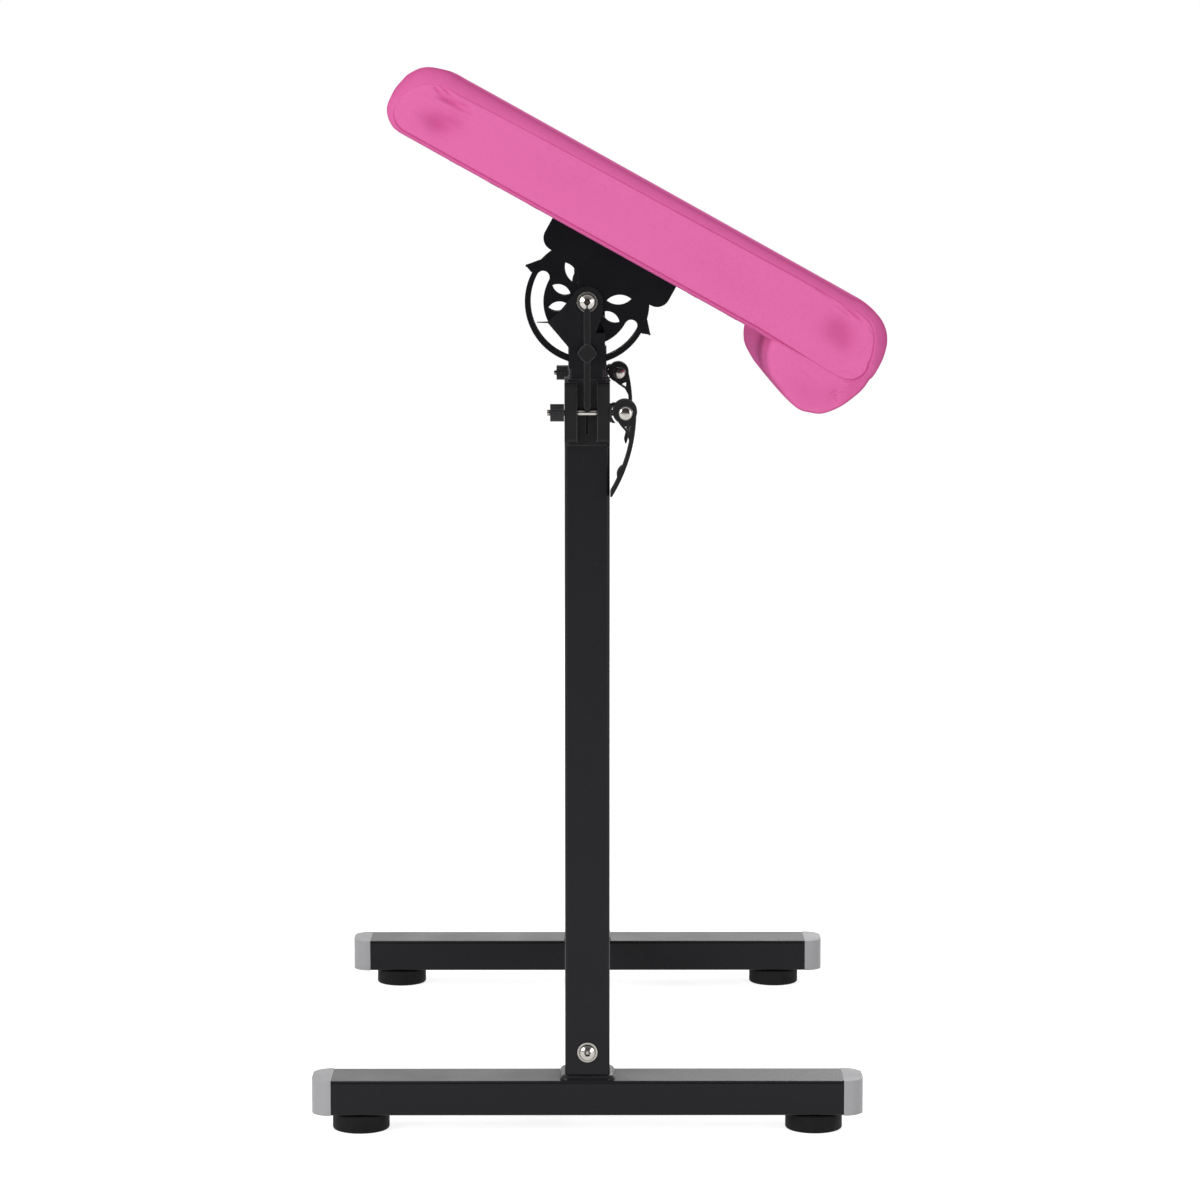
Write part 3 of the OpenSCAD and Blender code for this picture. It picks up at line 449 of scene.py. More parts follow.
def makeBrightSteel(look):
    # turned or drawn steel, with painted shade in its joints and sockets
    finish, tree, shader = newFinish("brightSteel", look, Metallic=1.0)
    edge = useGroup(tree, edgeCatch, Radius=look["edge"])
    lines = useGroup(tree, fineLines, Scale=look["lines"])
    shadeMask = useGroup(tree, crevice, Reach=look["joint"])
    turned = tint(tree, shader, look["colour"], look["markColour"], lines["Mark"], look["markShare"])
    # painted shade where the steel is closed in
    tint(tree, shader, turned, look["jointColour"], shadeMask["Crevice"], look["jointShare"])
    bump(tree, shader, lines["Height"], look, edge["Normal"])
    return finish


# the darkest pink is painted shade, laid on seams, creases, dents and the rims of the covers
vinylLook = dict(colour=(228, 112, 172), hollowColour=(212, 96, 156), paintedShadeColour=(190, 66, 128),
                 specular=0.0, grain=700.0, hollowShare=0.3, broad=(9.0, 0.0, 0.35), broadShare=0.4,
                 gloss=(24.0, 0.6, 0.72), bump=(0.22, 0.06 * mm))


def makeVinyl(look):
    # soft leather-grained vinyl, with painted shade in the seams, creases, dents and along the drawn edges
    finish, tree, shader = newFinish("pinkVinyl", look, Specular_IOR_Level=look["specular"])
    grain = useGroup(tree, pebbleGrain, Scale=look["grain"])
    mask = mathNode(tree, "MAXIMUM", mathNode(tree, "MULTIPLY", grain["Hollow"], look["hollowShare"]),
                    mathNode(tree, "MULTIPLY", cloudy(tree, look["broad"]), look["broadShare"]))
    grained = tint(tree, shader, look["colour"], look["hollowColour"], mask)
    # painted shade, by the per-point amount each cover carries
    paintedShade = tree.nodes.new("ShaderNodeAttribute")
    paintedShade.attribute_name = "paintedShade"
    tint(tree, shader, grained, look["paintedShadeColour"], paintedShade.outputs["Fac"])
    bump(tree, shader, grain["Height"], look)
    return finish


clothLook = dict(colour=(30, 30, 32), threadColour=(26, 26, 28), gapColour=(14, 14, 15),
                 lintColour=(40, 40, 42), specular=0.2, sheen=0.08, sheenRoughness=0.5,
                 weave=420.0, lint=(160.0, 0.0, 0.4), gloss=(40.0, 0.8, 0.95), bump=(0.6, 0.12 * mm))


def makeCloth(look):
    finish, tree, shader = newFinish(
        "blackDustCloth", look, Specular_IOR_Level=look["specular"],
        Sheen_Weight=look["sheen"], Sheen_Roughness=look["sheenRoughness"])
    weave = useGroup(tree, plainWeave, Scale=look["weave"])
    woven = tint(tree, shader, look["threadColour"], look["gapColour"], weave["Gap"])
    tint(tree, shader, woven, look["lintColour"], cloudy(tree, look["lint"]))
    bump(tree, shader, weave["Height"], look)
    return finish


plywoodLook = dict(colour=(196, 160, 112), woodColour=(204, 170, 122), streakColour=(158, 118, 74),
                   plyColour=(140, 100, 62), specular=0.3, grain=160, stretch=(1, 0.08, 1),
                   plies=110, waver=0.8, gloss=(18.0, 0.6, 0.75), bump=(0.3, 0.1 * mm))


def makePlywood(look):
    # long grain, and the plies where an edge shows
    finish, tree, shader = newFinish("plywood", look, Specular_IOR_Level=look["specular"])
    along = objectPlace(tree, stretch=look["stretch"])
    grain = noiseNode(tree, along, look["grain"], detail=4, roughness=0.6)
    plies = tree.nodes.new("ShaderNodeTexWave")
    plies.bands_direction = "Z"
    place = objectPlace(tree, turn=(0, slope, 0))
    for label, value in (("Vector", place), ("Scale", look["plies"]), ("Distortion", look["waver"])):
        feed(tree, plies.inputs[label], value)
    streaked = tint(tree, shader, look["woodColour"], look["streakColour"],
                    rangeNode(tree, grain, low=0.4, high=0.65, outHigh=0.7))
    tint(tree, shader, streaked, look["plyColour"],
         rangeNode(tree, plies.outputs["Fac"], low=0.2, high=0.8, outHigh=0.35))
    bump(tree, shader, grain, look)
    return finish


finishes = {
    "black_steel": makeSteelPaint("blackPowderCoat", steelPaint),
    "shaded_bracket_steel": makeSteelPaint("shadedPowderCoat", shadedBracketPaint),
    "black_plastic": makeMouldedBlack(mouldedBlack), "black_rubber": makeFootRubber(footRubber),
    "grey_plastic": makeCapPlastic(capPlastic), "bright_steel": makeBrightSteel(brightSteel),
    "pink_vinyl": makeVinyl(vinylLook), "black_cloth": makeCloth(clothLook),
    "plywood": makePlywood(plywoodLook),
}
for name, node in nodes.items():
    for slot in node.material_slots:
        key = slot.material.name.split(".")[0] if slot.material else "black_steel"
        if key not in finishes:
            print("no finish for", name, key)
        # the tilt brackets take the darker copy, as painted shade
        if name.endswith("tilt_bracket") and key == "black_steel":
            key = "shaded_bracket_steel"
        slot.material = finishes.get(key, finishes["black_steel"])
print("finishes on", len(nodes), "solids")


# ---- mesh helpers
def bell(x, middle, width):
    return np.exp(-((x - middle) / width) ** 2)


def wayAlong(line):
    # how far along the line each of its points lies
    return np.concatenate([[0], np.cumsum(np.linalg.norm(np.diff(line, axis=0), axis=1))])


def sleeveFaces(rows, ring):
    # quads between rows of a closed sleeve
    faces = []
    for j in range(rows - 1):
        for i in range(ring):
            k = (i + 1) % ring
            faces.append((j * ring + i, (j + 1) * ring + i, (j + 1) * ring + k, j * ring + k))
    return faces


def zipFaces(row, ring):
    # a strip of quads that closes a flat ring on itself
    return [(row * ring + i, row * ring + i + 1, (row + 1) * ring - 2 - i, (row + 1) * ring - 1 - i)
            for i in range(ring // 2 - 1)]


def fanFaces(row, ring, centre):
    # triangles that close a ring on a point in its middle
    return [(row * ring + i, row * ring + (i + 1) % ring, centre) for i in range(ring)]


def barFaces(rows, ring):
    # the same quads the other way round, for bars and domes
    return [(a, d, c, b) for a, b, c, d in sleeveFaces(rows, ring)]


def flipped(faces):
    return [f[::-1] for f in faces]


def gather(points, faces, morePoints, moreFaces):
    faces += [tuple(len(points) + k for k in f) for f in moreFaces]
    points += [tuple(q) for q in morePoints]


# ---- filling of the soft covers
swelling = dict(
    pressure=4.0, frames=20, quality=6, mass=0.35, damping=2.0, stretch=30, shear=12, bend=1.5,
    neighbours=5, blend=0.4,            # how the coarse cover's movement is read at other points
    padRoom=1.7, bolsterRoom=1.8)       # how far the foam inside lets each cover swell


def swell(points, faces, held, room):
    # a closed cover filled under pressure: how far each of its points moves, in millimetres
    s = swelling
    mesh = bpy.data.meshes.new("filling")
    mesh.from_pydata([tuple(q) for q in points * mm], [], faces)
    cover = bpy.data.objects.new("filling", mesh)
    scene.collection.objects.link(cover)
    cover.vertex_groups.new(name="held").add([int(i) for i in held], 1.0, "REPLACE")
    cloth = cover.modifiers.new("filling", "CLOTH")
    fabric = cloth.settings
    fabric.quality, fabric.mass, fabric.air_damping = s["quality"], s["mass"], s["damping"]
    fabric.tension_stiffness = fabric.compression_stiffness = s["stretch"]
    fabric.shear_stiffness, fabric.bending_stiffness = s["shear"], s["bend"]
    fabric.use_pressure, fabric.uniform_pressure_force = True, s["pressure"]
    fabric.vertex_group_mass = "held"
    fabric.effector_weights.gravity = 0
    cloth.collision_settings.use_collision = False
    for step in range(1, s["frames"] + 1):
        scene.frame_set(step)
    done = cover.evaluated_get(bpy.context.evaluated_depsgraph_get()).data
    moved = np.empty(len(points) * 3)
    done.vertices.foreach_get("co", moved)
    moved = moved.reshape(-1, 3) / mm - points
    scene.frame_set(1)
    bpy.data.objects.remove(cover)
    size = np.linalg.norm(moved, axis=1, keepdims=True)
    print("filled, moved up to", round(float(size.max()), 2), "mm, mean", round(float(size.mean()), 2))
    return moved * room / (size + room)


def carry(moves, fromPoints, toPoints):
    # the filling's movement, read at other points of the same cover
    tree = kdtree.KDTree(len(fromPoints))
    for i, q in enumerate(fromPoints):
        tree.insert(q, i)
    tree.balance()
    out = np.zeros_like(toPoints)
    for i, q in enumerate(toPoints):
        found = tree.find_n(q, swelling["neighbours"])
        weights = np.array([1 / (f[2] + swelling["blend"]) ** 2 for f in found])
        out[i] = (moves[[f[1] for f in found]] * weights[:, None]).sum(0) / weights.sum()
    return out


def filledCover(makeCover, steps, coarseSteps, room):
    cover = makeCover(steps)
    coarse = makeCover(coarseSteps)
    row, seamRow = np.arange(len(coarse["points"])) // coarse["ring"], len(coarseSteps["face"])
    held = np.flatnonzero((row == seamRow) | (row == coarse["rows"] - 1 - seamRow) | coarse["still"])
    moves = swell(coarse["points"], coarse["faces"], held, room)
    cover["points"] = cover["points"] + carry(moves, coarse["points"], cover["points"])
    return cover


creaseShape = dict(endPower=0.6, lip=0.45, lipAway=2.1, deepest=4)


def press(points, marks, hollows, face, fade):
    # pushes an end face in along creases and dents
    c = creaseShape
    u, y, w = points.T
    near = np.clip((fade - np.abs(np.abs(y) - face)) / fade, 0, 1)
    depth = np.zeros(len(points))
    for (au, aw), (bu, bw), deep, wide in marks:
        along = np.array([bu - au, bw - aw])
        reach = np.hypot(*along)
        t = ((u - au) * along[0] + (w - aw) * along[1]) / reach ** 2
        off = ((u - au) * along[1] - (w - aw) * along[0]) / reach
        ends = np.clip(np.sin(np.clip(t, 0, 1) * math.pi), 0, 1) ** c["endPower"]
        depth += deep * ends * (bell(off, 0, wide)
                                - c["lip"] * bell(np.abs(off), c["lipAway"] * wide, wide))
    for (cu, cw), (ru, rw), deep in hollows:
        depth += deep * bell(u, cu, ru) * bell(w, cw, rw)
    points[:, 1] -= np.sign(y) * depth * near
    return points, np.clip(depth, 0, c["deepest"]) * near


def vinylPiece(name, points, faces, paintedShades):
    # the last argument says how much painted shade each point gets, in a seam, crease or along a drawn edge
    piece = makePiece(name, padToRoom(points * mm), faces, finishes["pink_vinyl"], "rest")
    layer = piece.data.attributes.new("paintedShade", "FLOAT", "POINT")
    layer.data.foreach_set("value", np.clip(np.asarray(paintedShades, float), 0, 1))
    smooth = piece.modifiers.new("smooth", "SUBSURF")
    smooth.levels = smooth.render_levels = 1
    return piece


# ---- the pad, in millimetres along its own slope
padShape = dict(
    left=-223.1, right=235.9, bottom=47.4, top=111.1, half=342.0, middle=6.4, long=459.0,
    # corners of an end's outline, and how far the points between them bunch up at them
    topCorner=40.0, bottomCorner=22.0, leastCorner=1.2, cornerGap=1.0, bunch=0.62,
    # how round an end's edge is, the way over which that changes, and the inset of the middle line
    topEdge=12.0, bottomEdge=6.0, edgeTurn=26.0, lastInset=28.0,
    # how far up the filling leaves the underside alone, and how far in an end's creases reach
    still=0.5, pressFade=16,
    # rise in the middle of the top, and how far the sides draw in between the corners
    crown=0.5, crownPower=(4, 3), draw=2.5, drawPower=7,
    # the heel over the bolster hangs lower: place along the slope and share of the drop
    heel=[(135, 0), (177, 0.55), (203, 1), (215, 0.75), (228, 0)], heelLow=5.6, heelFade=14.0,
    plumpSpan=37.0, plumpPower=5, plumpBack=-12, plumpBlur=19)
# painted shade on the pad: how dark the colour is painted in the seam, on the band outside it, on the rim of
# an end and along the body
padPaintedShade = dict(seam=0.65, seamWidth=0.8, band=0.16, rim=0.65, rimPower=1.3, rimFade=5.0,
               body=0.05, under=0.5, pressed=0.2)
# how much fuller the ends are than round: centre of each end (u, w), then angle and swell
plump = [((-183, 79), [(85, 0), (100, 1.2), (110, 2.8), (120, 3.9), (130, 6.0), (140, 6.5), (150, 5.4),
                       (160, 4.5), (170, 3.0), (180, 2.2), (190, 2.0), (200, 1.3), (220, 0.8), (235, 0)]),
         ((196, 79), [(-75, 0), (-60, 1.0), (-40, 3.0), (-28, 3.2), (-10, 3.0), (0, 3.2), (10, 3.7),
                      (20, 4.8), (30, 6.0), (40, 6.2), (50, 5.5), (60, 3.9), (70, 2.0), (80, 1.0),
                      (90, 0)])]
# points round a corner, along an end, over its edge and along the pad; rows of a face, cuts of a seam
padSteps = dict(arc=30, run=70, edge=7, body=36, lips=[4.0],
                face=[1, 0.94, 0.88, 0.82, 0.76, 0.7, 0.64, 0.58, 0.52, 0.46, 0.4, 0.34, 0.28, 0.22, 0.17,
                      0.12, 0.08, 0.04, 0.01],
                cut=[2.0, 1.4, 0.95, 0.6, 0.3, 0, -0.3, -0.6, -0.95, -1.4])
padCoarse = dict(arc=8, run=36, edge=3, body=48, lips=[], face=[1, 0.66, 0.33], cut=[0])
# end seams: way round from the middle of the right end, inset from the outline, depth
seamOver = [(0, 8.9, 0.8), (17, 9.2, 0.7), (40, 7.6, 0.5), (63, 8.8, 0.6), (115, 8.2, 0.75),
            (209, 9.1, 0.75), (302, 10.0, 0.65), (377, 11.0, 0.6), (432, 12.6, 0.6),
            (455, 12.5, 0.4), (505, 8.0, 0.2)]
seamUnder = [(0, 8.9, 0.9), (14, 6.2, 1.0), (24, 4.2, 1.3), (36, 3.3, 1.4), (120, 3.2, 1.3),
             (300, 3.0, 1.2), (450, 3.0, 1.1), (484, 8.0, 0.2)]
seamCut = dict(groove=0.55, lip=0.22, lipAway=1.2, lipWidth=0.45)
# creases pressed into an end face: from, to (u, w), depth and half width
padCreases = [
    ((-197, 94.8), (-185, 91.4), 1.5, 1.3), ((-193, 97.2), (-174, 94.0), 1.2, 1.1),
    ((-191, 89.0), (-167, 90.8), 1.8, 1.7), ((-185, 93.0), (-160, 93.4), 1.3, 1.2),
    ((-172, 88.4), (-157, 90.4), 0.9, 1.2), ((-179, 79.5), (-160, 80.6), 0.5, 1.2),
    ((-177, 75.6), (-159, 77.0), 0.4, 1.1), ((-197, 80.5), (-188, 76.0), 0.4, 1.1),
    ((158, 102.6), (178, 100.8), 0.8, 1.0), ((184, 101.4), (207, 97.4), 1.7, 1.2),
    ((181, 98.6), (199, 95.6), 1.2, 1.1), ((213, 96.4), (222, 91.6), 0.6, 1.0)]
# broad dents: centre and reach (u, w), depth
padDents = [((-180, 69), (13, 8), 3.0), ((-167, 79), (11, 6), 1.8), ((-177, 89), (13, 4), 1.2),
            ((193, 81), (12, 11), 2.7), ((204, 75), (8, 8), 1.1), ((-60, 78), (60, 16), 0.4),
            ((90, 76), (50, 14), 0.4)]


def halfOutline(steps, inset, side):
    # the outline drawn in by inset, from the middle of the right end to that of the left end
    p = padShape
    arc = np.linspace(0, 1, steps["arc"] + 1)
    run = np.linspace(0, 1, steps["run"] + 1)[1:-1]
    run = run - p["bunch"] * np.sin(2 * math.pi * run) / (2 * math.pi)
    part = np.concatenate([arc * 0, run * 0 + 1, arc * 0 + 2])
    share = np.concatenate([arc, run, arc])
    d = np.broadcast_to(np.asarray(inset, float), part.shape)
    left, right, low, high = p["left"] + d, p["right"] - d, p["bottom"] + d, p["top"] - d
    rb = np.maximum(p["bottomCorner"] - d, p["leastCorner"])
    rt = np.minimum(np.maximum(p["topCorner"] - d, p["leastCorner"]), high - low - rb - p["cornerGap"])
    r = rt if side == "over" else rb
    turn = np.radians(np.where(part == 2, 90 + 90 * share, 90 * share))
    u = np.where(part == 2, left + r, right - r) + r * np.cos(turn)
    u = np.where(part == 1, right - r + (left - right + 2 * r) * share, u)
    rise = r * np.where(part == 1, 1, np.sin(turn))
    return np.stack([u, high - r + rise if side == "over" else low + r - rise], 1)


def plumpEnds(u, w):
    # how far the ends stand out from their round corners
    p = padShape
    # the tables are read at each degree and smoothed
    turns, blur = np.arange(-100, 361), np.hanning(p["plumpBlur"])
    outU, outW = np.zeros(len(u)), np.zeros(len(u))
    for (cu, cw), table in plump:
        angle, reach = np.arctan2(w - cw, u - cu), np.hypot(u - cu, w - cw)
        degrees = np.degrees(angle) % 360 if cu < 0 else np.degrees(angle)
        swells = np.convolve(np.interp(turns, *zip(*table)), blur / blur.sum(), "same")
        more = np.interp(degrees, turns, swells)
        more = more * np.minimum(1, reach / p["plumpSpan"]) ** p["plumpPower"]
        more = np.where((u - cu) * np.sign(cu) > p["plumpBack"], more, 0)
        outU, outW = outU + more * np.cos(angle), outW + more * np.sin(angle)
    return outU, outW


def padForm(points):
    # crown on the top, draw-in of the ends, fuller end corners and the heel over the bolster
    p = padShape
    u, y, w = points.T
    s, t = 2 * (u - p["middle"]) / p["long"], y / p["half"]
    up = np.maximum(0, (w - p["bottom"]) / (p["top"] - p["bottom"]))
    across = np.maximum(0, 1 - np.abs(s) ** p["crownPower"][0])
    along = np.maximum(0, 1 - np.abs(t) ** p["crownPower"][1])
    endIn = p["draw"] * np.abs(s) ** p["drawPower"] * np.maximum(0, 1 - t * t)
    sideIn = p["draw"] * np.abs(t) ** p["drawPower"] * np.maximum(0, 1 - s * s)
    heel = np.interp(u, *zip(*p["heel"])) * np.clip(1 - (w - p["bottom"]) / p["heelFade"], 0, 1)
    outU, outW = plumpEnds(u, w)
    return np.stack([u - np.sign(s) * endIn + outU, y - np.sign(y) * sideIn,
                     w + p["crown"] * up * up * across * along - p["heelLow"] * heel + outW], 1)


def padEdges(steps):
    # round the outline of an end: inset and depth of its seam, and how round its edge is
    p = padShape
    middle = (p["topEdge"] + p["bottomEdge"]) / 2
    seam, deep, edge = [], [], []
    for side, seams, full, order in (("over", seamOver, p["topEdge"], 1),
                                     ("under", seamUnder, p["bottomEdge"], -1)):
        way = wayAlong(halfOutline(steps, 0, side))
        toEnd = np.clip(np.minimum(way, way[-1] - way) / p["edgeTurn"], 0, 1)
        at, inset, depth = zip(*seams)
        seam.append(np.interp(way, at, inset)[::order])
        deep.append(np.interp(way, at, depth)[::order])
        edge.append((middle + (full - middle) * toEnd)[::order])
    return map(np.concatenate, (seam, deep, edge))


def padGrid(steps):
    # rows of points: a face from its middle line out, round its edge, along the pad, and back in
    p, f, c = padShape, padPaintedShade, seamCut
    seam, deep, edge = padEdges(steps)
    half = len(seam) // 2
    # the underside half takes a smaller share of the painted shade
    band = np.repeat([1.0, f["under"]], half)

    def ring(inset):
        return np.concatenate([halfOutline(steps, inset[:half], "over"),
                               halfOutline(steps, inset[half:][::-1], "under")[::-1]])

    inner, outer = seam + steps["cut"][0], seam + steps["cut"][-1]
    rows = [(inner + (p["lastInset"] - inner) * q, None) for q in steps["face"]]
    rows += [(seam + cut, cut) for cut in steps["cut"]]
    first = np.arcsin(np.clip(1 - outer / edge, 0, 1))
    for i in range(1, steps["edge"] + 1):
        rows.append((edge * (1 - np.sin(first + (math.pi / 2 - first) * i / steps["edge"])), None))
    near, paintedShades = [], []
    for number, (inset, cut) in enumerate(rows):
        flat = ring(inset)
        back = edge * (1 - np.sqrt(1 - np.clip(1 - inset / edge, 0, 1) ** 2))
        if cut is None:
            # painted shade over the rounded edge, darker towards the rim
            turned = max(0, (number + 1 - len(rows) + steps["edge"]) / steps["edge"])
            paintedShade = f["band"] + (f["rim"] - f["band"]) * turned ** f["rimPower"]
            paintedShades.append(band * paintedShade * (turned > 0))
        else:
            lips = bell(cut, c["lipAway"], c["lipWidth"]) + bell(cut, -c["lipAway"], c["lipWidth"])
            back = back + deep * (bell(cut, 0, c["groove"]) - c["lip"] * lips)
            # painted shade along the seam line and on the band outside it
            line = np.minimum(1, deep) * f["seam"] * bell(cut, 0, f["seamWidth"])
            paintedShades.append(np.maximum(line, band * f["band"] * max(0, min(1, -cut))))
        near.append(np.column_stack([flat[:, 0], back - p["half"], flat[:, 1]]))
    near = np.array(near)
    lips = [1 - k / p["half"] for k in steps["lips"]]
    along = lips + [1 - 2 * k / steps["body"] for k in range(1, steps["body"])] + [-k for k in lips]
    body = [near[-1] * [1, y, 1] for y in along]
    # painted shade along the body, fading out from the rim
    fades = [math.exp(-p["half"] * (1 - abs(y)) / f["rimFade"]) for y in along]
    bodyPaintedShades = [f["body"] + (paintedShades[-1] - f["body"]) * fade for fade in fades]
    return (np.concatenate([near, body, near[::-1] * [1, -1, 1]]),
            np.concatenate([paintedShades, bodyPaintedShades, paintedShades[::-1]]).reshape(-1))


def padCover(steps):
    grid, paintedShades = padGrid(steps)
    rows, ring = grid.shape[:2]
    flat = grid.reshape(-1, 3)
    faces = sleeveFaces(rows, ring) + zipFaces(0, ring) + flipped(zipFaces(rows - 1, ring))
    return dict(points=padForm(flat), faces=faces, rows=rows, ring=ring, paintedShades=paintedShades,
                still=flat[:, 2] < padShape["bottom"] + padShape["still"])


def makePad():
    cover = filledCover(padCover, padSteps, padCoarse, swelling["padRoom"])
    points, pressed = press(cover["points"], padCreases, padDents, padShape["half"], padShape["pressFade"])
    # painted shade of rims and seams, and in creases and dents by how deep they are pressed
    piece = vinylPiece("padCushion", points, cover["faces"],
                       np.maximum(cover["paintedShades"], pressed * padPaintedShade["pressed"]))
    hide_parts("pad_cushion")
    print("pad", len(piece.data.polygons), "faces")


makePad()


# ---- the bolster under the low end
bolsterShape = dict(
    width=88.0, drop=38.0, gap=0.5, tuck=2.5, half=340.5, taper=10.0, taperPower=1.5,
    middleAcross=0.72, middleDown=0.42, endRound=5.0, endShare=0.12, still=1.2, pressFade=14,
    # shares of the width and of the drop
    outline=[(0, 0.02), (0.035, 0.32), (0.14, 0.64), (0.29, 0.83), (0.43, 0.97), (0.556, 1.026),
             (0.655, 0.975), (0.77, 0.855), (0.889, 0.52), (0.978, 0.053), (1.0, -0.22), (0.998, -0.36)],
    outlineSteps=12, cornerTurn=(-25, -91, -5))
bolsterSteps = dict(points=116, body=36, edge=6, face=[0.985, 0.86, 0.72, 0.58, 0.45, 0.34, 0.25, 0.18])
bolsterCoarse = dict(points=48, body=40, edge=3, face=[0.9, 0.6, 0.34])
bolsterCreases = [
    ((213, 36), (221, 29), 0.8, 0.9), ((218, 40.5), (225, 34), 0.7, 0.9),
    ((223, 46), (229, 41), 0.6, 0.9), ((176, 39), (196, 35), 0.3, 1.2)]
bolsterDents = [((196, 24), (18, 9), 0.5), ((216, 33), (7, 8), 0.6)]
# painted shade on the bolster: along the outer rim of each end, a trace on its flank, and in its creases and
# dents
bolsterPaintedShade = dict(
    rim=0.5, rimIn=6, rimWidth=9,       # deeper along the outer edge of an end
    centre=(196, 32), reach=32, outer=(0.72, 0.3), right=(168, 14),
    flankShade=0.04, flankIn=3, pressed=0.35)


def bolsterOutline(count):
    # a smooth curve through the knots, then back inside the pad
    b, p = bolsterShape, padShape
    x0, top = p["right"] - b["width"], p["bottom"] - b["gap"]
    knots = np.array([(x0 + a * b["width"], top - d * b["drop"]) for a, d in b["outline"]])
    ends = np.vstack([knots[:1], knots, knots[-1:]])
    line = []
    for i in range(len(knots) - 1):
        before, start, end, after = ends[i:i + 4]
        for t in np.linspace(0, 1, b["outlineSteps"], endpoint=False):
            line.append((2 * start + (end - before) * t + (2 * before - 5 * start + 4 * end - after) * t ** 2
                         + (3 * start - before - 3 * end + after) * t ** 3) / 2)
    line.append(knots[-1])
    centre = np.array([p["right"] - p["bottomCorner"], p["bottom"] + p["bottomCorner"]])
    for angle in np.radians(np.arange(*b["cornerTurn"])):
        line.append(centre + (p["bottomCorner"] - b["tuck"]) * np.array([math.cos(angle), math.sin(angle)]))
    line = np.array(line + [(x0 + b["tuck"], p["bottom"] + b["tuck"]), knots[0]])
    way = wayAlong(line)
    at = np.linspace(0, way[-1], count, endpoint=False)
    return np.stack([np.interp(at, way, line[:, 0]), np.interp(at, way, line[:, 1])], 1)


def bolsterGrid(steps):
    b, p = bolsterShape, padShape
    outline = bolsterOutline(steps["points"])
    middle = np.array([p["right"] - b["width"] * (1 - b["middleAcross"]),
                       p["bottom"] - b["drop"] * b["middleDown"]])
    halfway = p["right"] - b["width"] / 2
    near = [(k, -b["half"]) for k in steps["face"]]
    for i in range(steps["edge"] + 1):
        angle = math.pi / 2 * i / steps["edge"]
        near.append((b["endShare"] * (1 - math.sin(angle)),
                     b["endRound"] * (1 - math.cos(angle)) - b["half"]))
    first = near[-1][1]
    body = [(0, first - 2 * first * i / steps["body"]) for i in range(1, steps["body"])]
    grid = []
    for k, y in near + body + [(k, -y) for k, y in near[::-1]]:
        drawn = middle + (outline - middle) * (1 - k)
        free = np.maximum(0, (halfway - drawn[:, 0]) / (b["width"] / 2))
        slim = b["taper"] * max(0, (y + b["half"]) / (2 * b["half"])) ** b["taperPower"]
        grid.append(np.column_stack([drawn[:, 0] + slim * free, np.full(len(drawn), y), drawn[:, 1]]))
    return np.array(grid)


def bolsterCover(steps):
    grid = bolsterGrid(steps)
    rows, ring = grid.shape[:2]
    points = np.vstack([grid.reshape(-1, 3), grid[0].mean(0), grid[-1].mean(0)])
    faces = sleeveFaces(rows, ring) + fanFaces(0, ring, rows * ring)
    faces += flipped(fanFaces(rows - 1, ring, rows * ring + 1))
    return dict(points=points, faces=faces, rows=rows, ring=ring,
                still=points[:, 2] > padShape["bottom"] - bolsterShape["still"])


def makeBolster():
    b, f = bolsterShape, bolsterPaintedShade
    cover = filledCover(bolsterCover, bolsterSteps, bolsterCoarse, swelling["bolsterRoom"])
    points, pressed = press(cover["points"], bolsterCreases, bolsterDents, b["half"], b["pressFade"])
    u, y, w = points.T
    # painted shade: on the outer rim of the ends towards the right, a trace along the flank, and in creases
    # and dents
    away = np.hypot(u - f["centre"][0], w - f["centre"][1]) / f["reach"]
    right = np.clip((u - f["right"][0]) / f["right"][1], 0, 1)
    flankShade = f["flankShade"] * (1 - right) * (np.abs(y) < b["half"] - f["flankIn"])
    rim = f["rim"] * bell(np.abs(y), b["half"] - f["rimIn"], f["rimWidth"]) * right
    rim = rim * np.clip((away - f["outer"][0]) / f["outer"][1], 0, 1)
    piece = vinylPiece("handBolster", points, cover["faces"],
                       np.maximum(np.maximum(rim, flankShade), pressed * f["pressed"]))
    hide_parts("hand_bolster")
    print("bolster", len(piece.data.polygons), "faces")


makeBolster()


# ---- dust cloth under the board, with its staples
dustCloth = dict(left=-172.1, right=125.9, half=304.0, level=47.22, across=60, along=120,
                 scallop=1.2, scallopPower=(9, 15), stapleGap=38.0, stapleIn=6.0)


def makeDustCloth():
    c = dustCloth
    points, faces = [], []
    for j in range(c["along"] + 1):
        for i in range(c["across"] + 1):
            a, b = i / c["across"], j / c["along"]
            u = c["left"] + (c["right"] - c["left"]) * a
            y = c["half"] * (2 * b - 1)
            # the cut edge draws in a little between the staples
            dip = c["scallop"] * math.sin(math.pi * (y + c["half"]) / c["stapleGap"]) ** 2
            u -= dip * (2 * a - 1) ** c["scallopPower"][0]
            dip = c["scallop"] * math.sin(math.pi * (u - c["left"]) / c["stapleGap"]) ** 2
            y -= dip * (2 * b - 1) ** c["scallopPower"][1]
            points.append((u, y, c["level"]))
    wide = c["across"] + 1
    for j in range(c["along"]):
        for i in range(c["across"]):
            k = j * wide + i
            faces.append((k, k + wide, k + wide + 1, k + 1))
    piece = makePiece("dustCloth", padToRoom(np.array(points) * mm), faces, finishes["black_cloth"],
                      "rest")
    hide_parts("bottom_cloth")


staple = dict(long=10.0, wire=0.5, sides=8, leg=0.2, bend=0.8, stand=0.08, sag=0.05,
              shoulderUp=0.4, shoulderIn=0.35,      # where a leg bends over, in shares of the bend
              cornerFree=8, flangeFree=70, crooked=14, seedStep=1.7, seed=(0.3, 0.9))


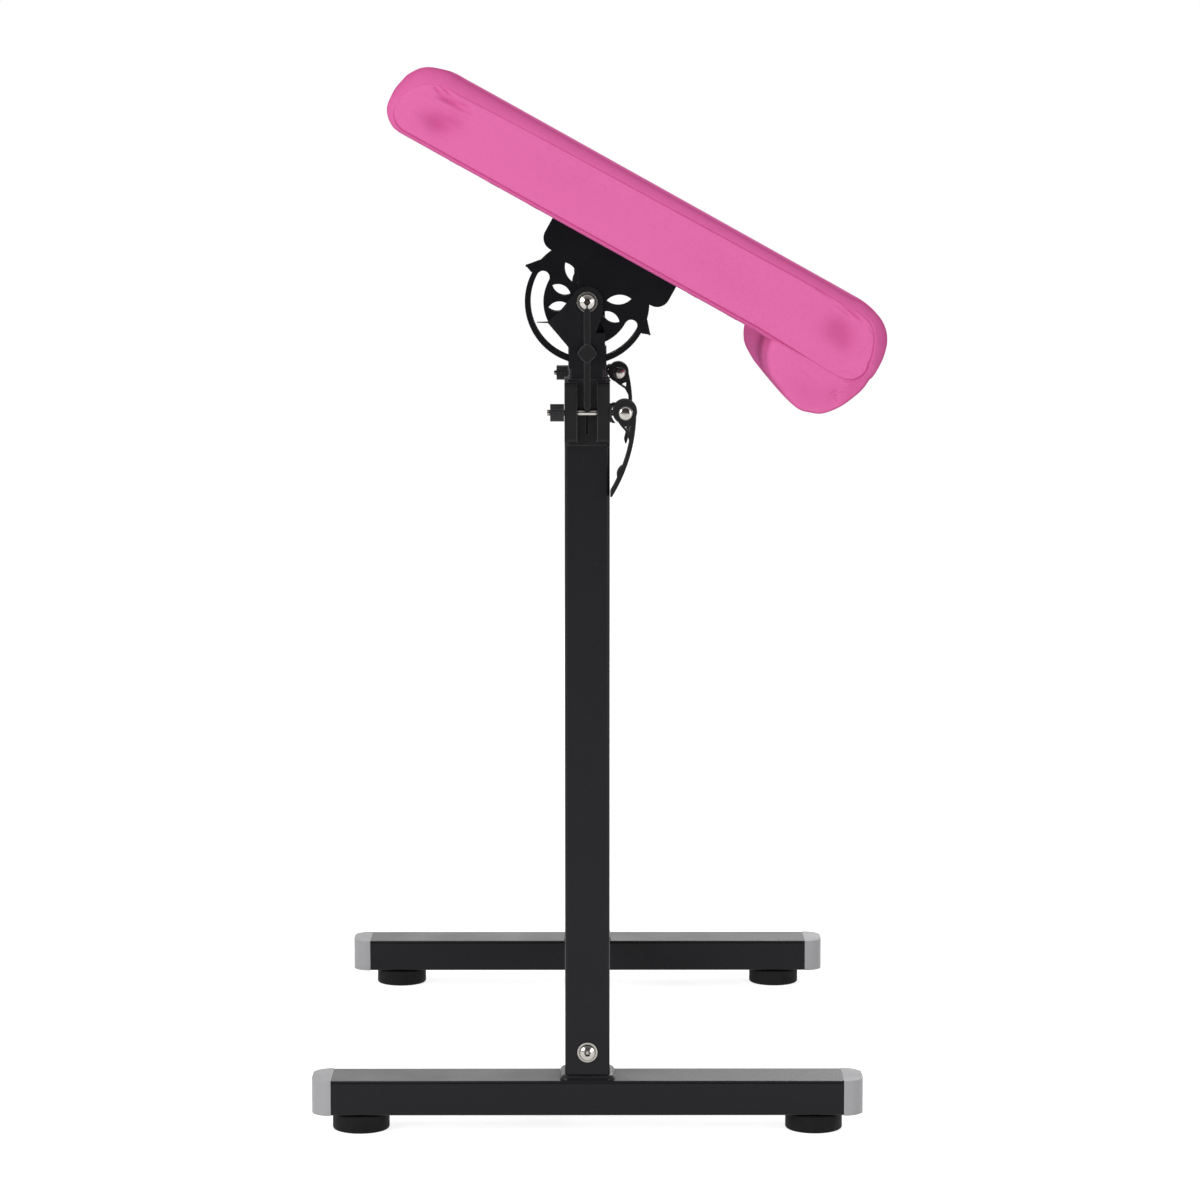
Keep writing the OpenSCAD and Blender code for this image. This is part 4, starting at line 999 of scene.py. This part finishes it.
def tube(path, radius, sides):
    # a closed round bar along a path of points
    path = [Vector(q) for q in path]
    points = []
    for i, q in enumerate(path):
        ahead = (path[min(i + 1, len(path) - 1)] - path[max(i - 1, 0)]).normalized()
        side = ahead.orthogonal().normalized() if i == 0 else (side - ahead * side.dot(ahead)).normalized()
        up = ahead.cross(side)
        for k in range(sides):
            turn = 2 * math.pi * k / sides
            points.append(q + side * radius * math.cos(turn) + up * radius * math.sin(turn))
    last = (len(path) - 1) * sides
    caps = [tuple(range(sides))[::-1], tuple(last + k for k in range(sides))]
    return points, barFaces(len(path), sides) + caps


def staplePlaces():
    # place and turn of each staple along the cloth's edges, clear of the flange
    c, s = dustCloth, staple
    places = []
    for side in (-1, 1):
        y = -c["half"] + c["stapleGap"]
        while y < c["half"] - s["cornerFree"]:
            edge = c["right"] - c["stapleIn"] if side > 0 else c["left"] + c["stapleIn"]
            places.append((edge, y, 90))
            y += c["stapleGap"]
        u = c["left"] + c["stapleGap"] / 2
        while u < c["right"] - s["cornerFree"]:
            if abs(u) > s["flangeFree"]:
                places.append((u, side * (c["half"] - c["stapleIn"]), 0))
            u += c["stapleGap"]
    return places


def makeStaples():
    c, s = dustCloth, staple
    low, half, bend = c["level"] - s["stand"] - s["wire"] / 2, s["long"] / 2, s["bend"]
    left = [(-half, c["level"] + s["leg"]), (-half, low + s["shoulderUp"] * bend),
            (-half + s["shoulderIn"] * bend, low + s["sag"]), (-half + bend, low)]
    line = left + [(-a, w) for a, w in left[::-1]]
    points, faces = [], []
    for number, (u, y, turn) in enumerate(staplePlaces()):
        wander = noise.noise(Vector((number * s["seedStep"], *s["seed"])))
        angle = math.radians(turn + s["crooked"] * wander)
        path = [(u + a * math.cos(angle), y + a * math.sin(angle), w) for a, w in line]
        gather(points, faces, *tube(path, s["wire"] / 2, s["sides"]))
    makePiece("clothStaples", padToRoom(np.array(points) * mm), faces, finishes["bright_steel"],
              "rest")


makeDustCloth()
makeStaples()
print("dust cloth and staples")


# ---- domed front ends of the lever pins
pinDome = dict(rise=1.5 * mm, inset=0.3 * mm, sink=0.2 * mm, rings=7, sides=40)


def dome(middle, front, radius):
    # a closed cap that starts inside the pin and bulges to the front
    d = pinDome
    rows = [(radius, front + d["sink"])]
    for ring in range(d["rings"]):
        lift = math.pi / 2 * ring / d["rings"]
        rows.append((radius * math.cos(lift), front - d["rise"] * math.sin(lift)))
    points, sides = [], d["sides"]
    for wide, y in rows:
        for k in range(sides):
            turn = 2 * math.pi * k / sides
            points.append((middle[0] + wide * math.cos(turn), y, middle[2] + wide * math.sin(turn)))
    faces = barFaces(len(rows), sides) + fanFaces(len(rows) - 1, sides, len(points))
    return points + [(middle[0], front - d["rise"], middle[2])], faces + [tuple(range(sides))[::-1]]


def makePinDomes():
    pins = nodes["cam_pins"]
    spots = np.array([pins.matrix_world @ v.co for v in pins.data.vertices])
    points, faces = [], []
    for leg in (spots[spots[:, 1] < 0], spots[spots[:, 1] > 0]):
        front = leg[:, 1].min()
        rim = leg[leg[:, 1] < front + pinDome["sink"]]
        low, high = rim.min(axis=0), rim.max(axis=0)
        gather(points, faces, *dome((low + high) / 2, front, (high[0] - low[0]) / 2 - pinDome["inset"]))
    makePiece("pinDomes", points, faces, finishes["bright_steel"], "stand_base")


makePinDomes()
print("pin domes")
